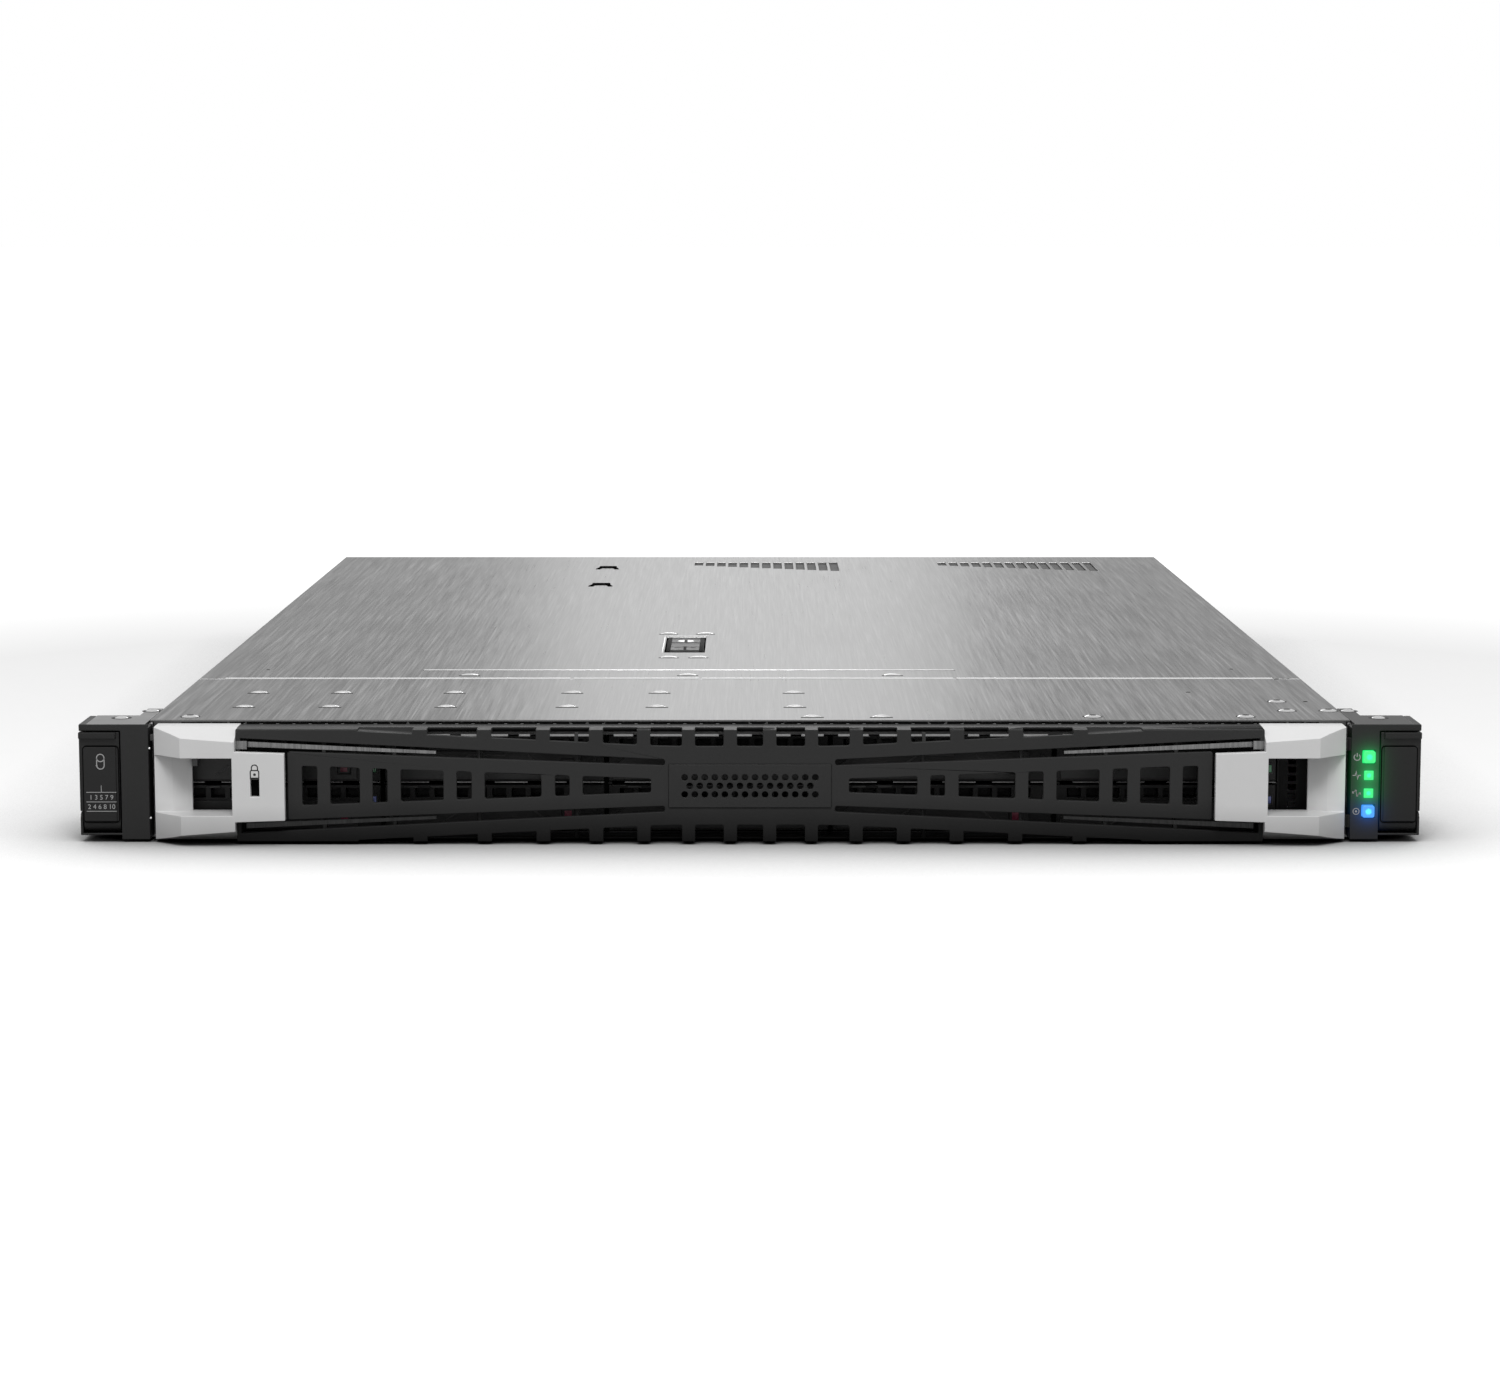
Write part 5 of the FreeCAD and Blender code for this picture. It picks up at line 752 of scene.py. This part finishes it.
def covers():
    flat_cover("front_top_cover")
    flat_cover("access_panel")
    # painted highlight: the pressed bridges and the crease take a paler copy of the lid steel
    bridge = bridge_tree("pressed_bridge", "bridge_steel")
    panel_bridges = BRIDGES_PANEL + BRIDGES_LATCH
    repeated("front_cover_bridges", bridge, at_height(BRIDGES_FRONT), "chassis", "bridge_steel",
             slot="lid_steel", Width=6.2, Length=2.4, Height=0.6)
    repeated("panel_bridges", bridge, at_height(panel_bridges), "top_panel", "bridge_steel",
             slot="lid_steel", Width=6.6, Length=3.4, Height=0.46)
    # painted shade: dark strips in front of the bridges stand for the shade in their slits
    slit_shade = block_tree("bridge_slit", "shadow_grey")
    for name, body, points in (("front_cover_slits", "chassis", BRIDGES_FRONT),
                               ("panel_slits", "top_panel", panel_bridges)):
        repeated(name, slit_shade, at_height(points, back=-2.3), body, "shadow_grey", slot="lid_steel",
                 Width=8.4, Length=2.4, Height=0.05)
    rivet = rivet_tree("pressed_rivet", "rivet_steel")
    rivets = repeated("cover_rivet_heads", rivet, at_height(RIVETS), "chassis", "rivet_steel",
                      slot="rivet_steel", Radius=3.1, Height=0.66)
    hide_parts("cover_rivets")
    repeated("ear_rivet_heads", rivet, at_height(EAR_RIVETS, EAR_TOP), "chassis", "rivet_steel",
             slot="rivet_steel", Radius=2.5, Height=0.62)
    # painted shade: dark rings round the rivets and dark discs in their dimples; the same dark discs make the
    # dots
    dark_disc = can_tree("rivet_collar", "shadow_black")
    repeated("rivet_collars", dark_disc, at_height(RIVETS) + at_height(EAR_RIVETS, EAR_TOP + 0.02), "chassis",
             "shadow_grey", slot="lid_steel", Radius=3.75, Height=0.05)
    repeated("rivet_dimples", dark_disc, at_height(RIVETS, LID + 0.62, 0.2), "chassis", "shadow_grey",
             slot="rivet_steel", Radius=1.3, Height=0.06)
    # painted shade: black dashes on the lip stand for the shade in its slots
    slots = [(-203.5 + 5.9 * i, -330.02, LID - 1.2) for i in range(70)]
    repeated("cover_lip_slots", block_tree("lip_slot", "shadow_black"), slots, "chassis", "shadow_black",
             slot="lid_steel", Width=4.8, Length=0.1, Height=0.9)
    repeated("front_cover_dots", dark_disc, at_height(COVER_DOTS), "chassis", "shadow_black",
             slot="lid_steel", Radius=0.9, Height=0.06)
    repeated("panel_dots", dark_disc, at_height(PANEL_DOTS), "top_panel", "shadow_black",
             slot="lid_steel", Radius=0.8, Height=0.06)

    # painted highlight: a pale strip for the lit front edge of the access panel
    hem_highlight = Shape("panel_hem")
    for x in ((-207.1, -70.9), (-69.6, -20.4), (-19.1, 80.2), (81.5, 206.2)):
        hem_highlight.box(x, (SEAM + 0.02, SEAM + 0.9), (LID - 0.3, LID + 0.32))
    hem_highlight.done("top_panel", "bright_line", 0.07, slot="lid_steel")
    ridge = Shape("panel_crease")
    ridge.prism([(-182.1, LID - 0.1), (-181.8, LID + 0.26), (-181.0, LID + 0.26), (-180.1, LID - 0.1)],
                "X", -131, 82)
    ridge.done("top_panel", "bridge_steel", 0.06, slot="lid_steel")
    Shape("panel_crease_shade").box((-131.5, 82.5), (-183.0, -182.15), (LID - 0.05, LID + 0.03)).done(
        "top_panel", "shadow_grey", slot="lid_steel")
    screens = Shape("roof_vent_screens")
    for x in ((-31, 49.5), (97, 183)):
        screens.box(x, (239, 291), (41.65, 41.95))
    screens.done("top_panel", "vent_mesh", slot="tub_black")
    # painted shade: black pieces stand for the shade under the louvred tabs and by their feet
    tab_shade = Shape("panel_tabs")
    feet_shade = Shape("panel_tab_feet")
    for x, y in ((-74, 257), (-74, 167)):
        tab_shade.box((x - 4.4, x + 4.4), (y - 1.0, y + 6.4), (LID - 0.1, LID + 0.45))
        for side in (-1, 1):
            feet_shade.prism([(x + side * 4.2, y + 3.4), (x + side * 6.0, y - 6.6), (x + side * 4.0, y - 7.6),
                        (x + side * 2.6, y - 1.2)], "Z", LID - 0.1, LID + 0.3)
    for part in (tab_shade, feet_shade):
        part.done("top_panel", "shadow_black", 0.1, slot="lid_steel")


def latch():
    softened("latch_housing", 0.3)
    softened("panel_latch", 0.35)
    x0, x1 = -35.4, -19.6
    middle = (x0 + x1) / 2
    # painted highlight: pale rims on the latch's left and top sides only
    rim = Shape("latch_rim")
    rim.box((-37.0, -36.6), (-121.0, -61.5), (LID - 0.3, LID + 0.1))
    rim.box((-37.0, -18.2), (-61.6, -60.9), (LID - 0.3, LID + 0.28))
    rim.done("top_panel", "bridge_steel", 0.05, slot="lid_steel")
    edges = Shape("latch_lever_edges")
    for x in ((x0 + 0.1, x0 + 1.9), (x1 - 1.9, x1 - 0.1)):
        edges.box(x, (-119.5, -63.6), (42.5, 42.86))
    edges.box((x0 + 0.1, x1 - 0.1), (-119.6, -116.4), (42.5, 42.86))
    for y in (-83.6, -70.4, -66.4):
        edges.box((x0 + 1.9, x1 - 1.9), (y, y + 1.5), (42.5, 42.85))
    edges.done("panel_latch_lever", "tub_black", 0.08, slot="latch_grey")
    arrow = Shape("latch_lever_arrow")
    arrow.stroke([(middle - 4.4, -103), (middle, -98), (middle + 4.4, -103)], 0.6, "Z", 42.6, 42.83)
    arrow.stroke([(middle, -110), (middle, -99)], 1.2, "Z", 42.6, 42.84)
    arrow.done("panel_latch_lever", "tub_black", slot="latch_grey")
    # painted highlight: the lock screw's head is pale; painted shade in its slot
    screw = Shape("latch_lock_screw")
    screw.turned([(0, 42.0), (3.7, 42.0), (3.7, 42.6), (3.3, 42.88), (0, 42.88)], "Z", (middle, -77.2), 40)
    screw.done("panel_latch_lever", "bright_line", slot="latch_grey")
    slot = Shape("latch_lock_slot").box((middle - 0.7, middle + 0.7), (-80.9, -73.5), (42.6, 42.91))
    slot.done("panel_latch_lever", "shadow_grey", slot="latch_grey")


# ---- front: bezel, ears and levers

END_FACE = -350.0  # front of the bezel's silver ends
LEVER_FACE = -340.9
EAR_FACE = -340.5
LEVER_X = 233.5
LEVER_HINGE = (-337.45, 6.6)


def bezel():
    softened("bezel_frame", 0.2, only=lambda at: at.y < -344.2 * MM)
    for side in ("left", "right"):
        softened(f"bezel_{side}_end", 0.2, angle=12, second=("nose_black", lambda at: abs(at.x) > 214.3 * MM))
    softened("bezel_strips", 0.08, second=("strip_shade", lambda at: at.z < 20 * MM))
    softened("bezel_insert", 0.3)
    softened("bezel_release", 0.15)
    strip = Shape("bezel_strip_tips")
    for x in ((-185.4, -180.2), (180.2, 185.4)):
        strip.box(x, (-346.08, -345.9), (34.5, 37.5))
    strip.done("bezel", "strip_steel")
    pins = Shape("bezel_pins")
    for z in (34.1, 8.7):
        pins.turned([(0, -341.0), (0.22, -341.0), (0.36, -340.9), (0.36, -339.6), (0, -339.6)], "Y",
                    (-215.9, z), 12)
    pins.done("chassis", "rivet_steel", slot="ear_plastic")
    # painted shade: a black sheet behind the lock slot
    Shape("lock_slot_back").box((-180.5, -173.5), (-346.9, -346.6), (16, 27)).done(
        "bezel", "shadow_black", slot="end_silver")
    symbol = Shape("lock_symbol")
    y = (END_FACE - 0.04, END_FACE + 0.2)
    symbol.stroke(rounded(-178.5, -175.5, 24.3, 27.4, 0.5), 0.42, "Y", *y, joined=True)
    symbol.stroke([(-178.1, 27.4)] + arc(-177, 28.3, 1.1, 180, 0) + [(-175.9, 27.4)], 0.42, "Y", *y)
    symbol.turned([(0, y[0]), (0.5, y[0]), (0.5, y[1]), (0, y[1])], "Y", (-177, 25.9), 12)
    symbol.done("bezel", "shadow_grey", slot="end_silver")


def ears():
    for side, turn in (("left", -1), ("right", 1)):
        # painted light: the left ear's top faces take a paler copy of the ear steel
        painted_lit_top = ("ear_steel_lit", lambda at: at.z > 42.3 * MM and at.x < 0)
        softened(f"{side}_ear_bracket", 0.2, second=painted_lit_top if turn < 0 else None)
        # painted shade: a low band of the housing, from 3.15 to 3.8 mm, is black
        softened(f"{side}_ear_housing", 0.3, second=("groove_black", lambda at: 3.15 * MM < at.z < 3.8 * MM))
        low, high = sorted((turn * 240.5, turn * 241.2))
        knuckle = Shape(f"{side}_ear_knuckle")
        outline = [(-340.3, 8.9)] + arc(*LEVER_HINGE, 4.3, 130, 50, 8) + [(-334.6, 8.9)]
        knuckle.prism(outline, "X", low, high)
        knuckle.done("chassis", "ear_plastic")
        softened(f"{side}_lever", 0.25)
    for button in ("power_button", "locator_button"):
        softened(button, 0.55, segments=3)
    softened("status_lenses", 0.35)


def lever_labels():
    for side, x in (("left", -LEVER_X), ("right", LEVER_X)):
        # painted shade: a black line stands for the groove round the label plate
        groove = Shape(f"{side}_lever_groove")
        groove.stroke(rounded(x - 6.4, x + 6.4, 7.1, 34.9, 1.3), 0.36, "Y", LEVER_FACE - 0.03, LEVER_FACE + 0.3,
                      joined=True)
        groove.done(f"{side}_rack_lever", "groove_black", slot="lever_plastic")
    x = -LEVER_X
    y = (LEVER_FACE - 0.04, LEVER_FACE + 0.3)
    drum = Shape("bay_label_drum")
    drum.stroke(arc(x - 0.1, 30.6, 1.35, 0, 360, 20), 0.34, "Y", *y)
    side = [(x - 1.45, 30.4), (x - 1.45, 27.9)] + arc(x - 0.1, 27.9, 1.35, 180, 360, 12) + [(x + 1.25, 30.4)]
    drum.stroke(side, 0.34, "Y", *y)
    drum.done("left_rack_lever", "printed_grey", slot="lever_plastic")
    table = Shape("bay_label_lines")
    for z in (18.1, 14.6, 11.2):
        table.stroke([(x - 5.4, z), (x + 5.4, z)], 0.22, "Y", *y)
    table.stroke([(x, 18.1), (x, 20.6)], 0.22, "Y", *y)
    table.done("left_rack_lever", "printed_grey", slot="lever_plastic")
    figures("bay_label_odd", "1 3 5 7 9", (x, 15.45), 1.75)
    figures("bay_label_even", "2 4 6 8 10", (x, 12.05), 1.75)


def figures(name, text, middle, height):
    """Bay numbers, as thin raised figures on the left lever's face."""
    data = bpy.data.curves.new(name, "FONT")
    data.body = text
    data.size = height * 1.38 * MM
    data.align_x = "CENTER"
    data.extrude = 0.05 * MM
    written = bpy.data.objects.new(name + "_outline", data)
    scene.collection.objects.link(written)
    mesh = bpy.data.meshes.new_from_object(written.evaluated_get(bpy.context.evaluated_depsgraph_get()))
    bpy.data.objects.remove(written)
    mesh.transform(Matrix.Translation(Vector((middle[0], LEVER_FACE, middle[1])) * MM)
                   @ Matrix.Rotation(math.radians(90), 4, "X"))
    piece = bpy.data.objects.new(name, mesh)
    scene.collection.objects.link(piece)
    settle(piece, "left_rack_lever", "printed_grey")


def symbols():
    """Printed symbols beside the lamps."""
    y = (EAR_FACE - 0.045, EAR_FACE + 0.2)
    x = 218.35
    power, health, network, locator = map(Shape, (
        "power_symbol", "health_symbol", "network_symbol", "locator_symbol"))
    power.stroke(arc(x, 30.8, 1.12, 125, 415, 24), 0.36, "Y", *y)
    power.stroke([(x, 30.9), (x, 32.3)], 0.36, "Y", *y)
    pulse = [(-1.5, 24.2), (-0.6, 24.2), (-0.2, 25.6), (0.3, 22.9), (0.65, 24.2), (1.5, 24.2)]
    health.stroke([(x + u, z) for u, z in pulse], 0.34, "Y", *y)
    for u, v in ((-1.2, 0.3), (-0.3, 0.9), (0.3, -0.8), (1.2, -0.1)):
        network.box((x + u - 0.34, x + u + 0.34), y, (17.7 + v - 0.34, 17.7 + v + 0.34))
    network.stroke([(x - 1.2, 18.0), (x - 0.3, 18.6), (x + 0.3, 16.9), (x + 1.2, 17.6)], 0.2, "Y", *y)
    locator.stroke(arc(x, 11.1, 1.1, 0, 360, 20), 0.26, "Y", *y)
    locator.turned([(0, y[0]), (0.38, y[0]), (0.38, y[1]), (0, y[1])], "Y", (x, 11.1), 14)
    for symbol in (power, health, network, locator):
        symbol.done("chassis", "printed_grey", slot="ear_plastic")


BAY_X, BAY_PITCH = -213.95, 81.3
ODD_RUNS = [(2, 13), (17, 24), (28, 45), (49, 53), (57, 78)]
EVEN_RUNS = [(2, 9), (14, 40), (44, 52), (58, 66), (70, 78)]


def drives():
    for number in range(1, 11):
        node = f"drive_{number}"
        low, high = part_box(node)
        x0, x1, z0, z1 = low[0] / MM, high[0] / MM, low[2] / MM, high[2] / MM
        face = low[1]

        def is_lever(at, face=face):
            return at.y < face + 1.1 * MM

        softened(node, 0.18, second=("drive_lever", is_lever))
        body = f"drive_unit_{number}"
        y = face / MM
        upper = z0 > 15
        touch = Shape(f"{node}_release_touch")
        touch.box((x1 - 14.6, x1 - 11.9), (y - 0.02, y + 0.6), (z0 + 3.4, z0 + 7.4))
        touch.done(body, "touch_red", 0.12, slot="drive_black")
        lens = Shape(f"{node}_activity_lens")
        z = z0 + (3.2 if upper else 9.8)
        lens.box((x1 - 3.0, x1 - 1.6), (y + 0.55, y + 1.3), (z, z + 2.7))
        lens.done(body, "off_lens_green" if upper else "off_lens_blue", 0.2, slot="drive_black")
        trim = Shape(f"{node}_lens_frame")
        trim.stroke(rounded(x1 - 3.4, x1 - 1.2, z - 0.4, z + 3.1, 0.4), 0.3, "Y", y + 0.6, y + 1.3, joined=True)
        trim.done(body, "drive_trim", slot="drive_black")
        rib = Shape(f"{node}_face_ribs")
        for line in ([(20, 2.2), (31, 9.6), (44, 9.6)], [(52, 9.6), (60, 2.2)]):
            rib.stroke([(x0 + u, z0 + v) for u, v in line], 0.7, "Y", y + 0.1, y + 0.7)
        for k in range(3):
            at = x0 + 7 + 9.5 * k
            rib.box((at, at + 5.0), (y + 0.2, y + 1.4), (z1 - 0.95, z1 - 0.25))
        rib.done(body, "drive_trim", 0.1, slot="drive_black")


def bays():
    """Painted highlights: the folded edges of the drive bays and of their rows, seen through the grille, as
    pale strips, the bay edges glowing a little; and the shade between the bays.
    """
    dashes, shade, rows = Shape("bay_edges"), Shape("bay_shade"), Shape("bay_row_edges")
    for column in range(5):
        x = BAY_X + BAY_PITCH * column
        for start, end in ODD_RUNS if column % 2 else EVEN_RUNS:
            dashes.box((x + start, x + end), (-330.4, -330.02), (37.0, 37.75))
        shade.box((x - 1.4, x - 0.1), (-328.9, -328.2), (1.4, 37.0))
        for start, end in ((6, 16), (22, 32), (40, 52), (58, 66), (72, 79.6)):
            rows.box((x + start, x + end), (-328.9, -328.5), (19.8, 20.1))
    dashes.done("chassis", "bay_line", 0.06, slot="cage_steel")
    shade.done("chassis", "shadow_black", slot="cage_steel")
    rows.done("chassis", "row_line", slot="cage_steel")


# ---- inside

def grid(across, along, z):
    return [(x, y, z) for x in across for y in along]


def steps(start, end, count):
    return [start + (end - start) * i / (count - 1) for i in range(count)]


SOFT_INSIDE = {"chassis_tray": 0.12, "rear_wall": 0.12, "drive_cage": 0.12, "fan_cage": 0.12,
               "riser_cage": 0.12, "drive_backplane": 0.1, "fan_frames": 0.35, "system_board": 0.12,
               "cpu_socket": 0.3, "cpu_heatsink": 0.08, "dimm_sockets": 0.18}
CONTROLLERS = [(-160, -88), (160, 110), (-20, 120), (40, 190), (-30, 230), (150, 150)]
HEADERS = ((-196, 0, 6, 34), (-196, 44, 6, 22), (196, -96, 8, 26), (60, 105, 30, 6), (20, 262, 26, 6))
BOARD_TOP = 7.6
FAN_BACK = -137.05


def inside():
    for node, width in SOFT_INSIDE.items():
        softened(node, width)
    middles = module_places()
    softened("memory_modules", 0.1, second=("chip_black", lambda at: min(
        abs(at.x / MM - middle) for middle in middles) > 0.75))
    softened("air_baffle", 0.4)
    softened("riser_boards", 0.12)
    for number in range(1, 7):
        softened(f"fan_rotor_{number}", 0.12)
    chip = block_tree("chip", "chip_black")
    small = grid(steps(-196, -112, 7), steps(-34, 70, 6), BOARD_TOP + 0.5)
    small += grid(steps(150, 200, 5), steps(-100, 60, 7), BOARD_TOP + 0.5)
    coils = grid(steps(-12, 52, 7), [-48], 9.6) + grid(steps(-12, 52, 7), [78], 9.6)
    cans = grid(steps(-12, 52, 9), [88.5], 10.4) + grid(steps(150, 205, 6), [92], 10.4)
    cans += grid([-196, -188, -180], steps(80, 120, 4), 10.4)
    for name, tree, points, finish, sizes in (
            ("board_small_chips", chip, small, "chip_black", {"Width": 3.2, "Length": 2.4, "Height": 1.0}),
            ("board_controllers", chip, at_height(CONTROLLERS, 8.3), "chip_black",
             {"Width": 17, "Length": 17, "Height": 1.6}),
            ("power_coils", chip, coils, "coil_grey", {"Width": 6.6, "Length": 6.4, "Height": 4.2}),
            ("board_capacitors", can_tree("capacitor", "can_steel"), cans, "can_steel",
             {"Radius": 2.6, "Height": 5.8})):
        repeated(name, tree, points, "chassis", finish, slot="board_green", **sizes)
    cell = Shape("clock_cell")
    cell.turned([(0, BOARD_TOP), (10, BOARD_TOP), (10, 10.4), (9.4, 10.8), (0, 10.8)], "Z", (-10, 165), 40)
    cell.done("chassis", "can_steel", slot="board_green")
    header = Shape("board_headers")
    for x, y, w, d in HEADERS:
        header.box((x - w / 2, x + w / 2), (y - d / 2, y + d / 2), (BOARD_TOP - 0.1, 12.6))
    header.done("chassis", "header_white", 0.3, slot="socket_plastic")
    hub = Shape("fan_hub_discs")
    disc = [(0, FAN_BACK), (12.6, FAN_BACK), (12.6, FAN_BACK - 0.3), (0, FAN_BACK - 0.3)]
    for i in range(6):
        hub.turned(disc, "Y", (70.0 * (i - 2.5), 21.0), 40)
    hub.done("chassis", "hub_label", slot="fan_plastic")


def module_places():
    """Middles of the memory modules, from their solids."""
    found = []
    for vert in nodes["memory_modules"].data.vertices:
        x = vert.co.x / MM
        for i, (low, high) in enumerate(found):
            if low - 3 < x < high + 3:
                found[i] = (min(low, x), max(high, x))
                break
        else:
            found.append((x, x))
    return [(low + high) / 2 for low, high in found]


# ---- rear

SOFT_REAR = {"slot_covers": 0.12, "rear_ports": 0.18, "network_card": 0.15, "rail_studs": 0.3}


def rear():
    for node, width in SOFT_REAR.items():
        softened(node, width)
    for number in (1, 2):
        softened(f"psu_{number}_case", 0.3)
        softened(f"psu_{number}_handle", 0.9, segments=3)
        softened(f"psu_{number}_latch", 0.4)


# ---- studio

CAMERA_PLACE = (0.0, -1.6449, 0.22183)
CAMERA_TILT = 7.437  # degrees below level
CAMERA_LENS = 87.97
WORLD_LEVEL = 0.52
SHOWN_RAYS = ("Is Glossy Ray", "Is Transmission Ray")


def make_floor():
    """A white paper floor that keeps the object's shadow, with painted shade from ambient occlusion near the
    object. What the camera, a gloss or a glass shows of it is white; the light that it throws up on the object
    stays low."""
    z = cad_box[0][2] - 0.0002
    data = bpy.data.meshes.new("floor")
    data.from_pydata([(-30, -30, z), (30, -30, z), (30, 30, z), (-30, 30, z)], [], [(0, 1, 2, 3)])
    floor = bpy.data.objects.new("floor", data)
    scene.collection.objects.link(floor)
    paper = Finish("paper", rough=0.95, Specular_IOR_Level=0.0)
    seen = paper.node("ShaderNodeLightPath", out="Is Camera Ray")
    path = seen.socket.node
    for other in SHOWN_RAYS:
        seen = seen.most(Value(paper, path.outputs[other]))
    occlusion_shade = paper.node("ShaderNodeAmbientOcclusion", {"samples": 6}, Distance=0.085, out="AO")
    fibre = paper.noise(0.02, detail=3.0) * 0.01 + 0.995
    level = seen * (occlusion_shade ** 1.25) * fibre * 0.99 + (1 - seen) * 0.16
    sweep = seen * (paper.distance((0, 0, 0), (0.8, 1, 0)).fade(0.38, 1.0) * 0.75)
    paper.set(colour=paper.mixed(level, level, level)).glowing(paper.mixed(sweep, sweep, sweep))
    data.materials.append(paper.material)


def make_studio():
    camera = bpy.data.objects.new("camera", bpy.data.cameras.new("camera"))
    scene.collection.objects.link(camera)
    camera.data.lens = CAMERA_LENS
    camera.data.sensor_width = 36.0
    camera.data.clip_start, camera.data.clip_end = 0.05, 50.0
    camera.location = CAMERA_PLACE
    camera.rotation_euler = (math.radians(90 - CAMERA_TILT), 0, 0)
    scene.camera = camera

    world = bpy.data.worlds.new("studio")
    scene.world = world
    world.use_nodes = True
    tree = world.node_tree
    backdrop = tree.nodes["Background"]
    backdrop.inputs["Color"].default_value = (1, 1, 1, 1)
    path = tree.nodes.new("ShaderNodeLightPath")
    seen = path.outputs["Is Camera Ray"]
    for other in SHOWN_RAYS:
        most = tree.nodes.new("ShaderNodeMath")
        most.operation = "MAXIMUM"
        tree.links.new(seen, most.inputs[0])
        tree.links.new(path.outputs[other], most.inputs[1])
        seen = most.outputs[0]
    strength = tree.nodes.new("ShaderNodeMapRange")
    strength.inputs["To Min"].default_value = WORLD_LEVEL
    tree.links.new(seen, strength.inputs["Value"])
    tree.links.new(strength.outputs[0], backdrop.inputs["Strength"])
    make_floor()

    def lamp_at(name, place, aim, width, height, power):
        light = bpy.data.lights.new(name, "AREA")
        light.shape = "RECTANGLE"
        light.size, light.size_y, light.energy = width, height, power
        made = bpy.data.objects.new(name, light)
        scene.collection.objects.link(made)
        made.location = place
        made.rotation_euler = (Vector(aim) - Vector(place)).to_track_quat("-Z", "Y").to_euler()

    lamp_at("rear_softbox", (0, 2.6, 0.72), (0, 0, 0), 0.5, 0.6, 3.3)
    lamp_at("front_softbox", (0, -1.85, 2.15), (0, -0.33, 0), 1.5, 1.0, 46)


make_finishes()
for name, piece in nodes.items():
    wear(piece, slot_of_node[name])
make_studio()
for make in (covers, latch, bezel, ears, lever_labels, symbols, drives, bays, inside, rear):
    make()
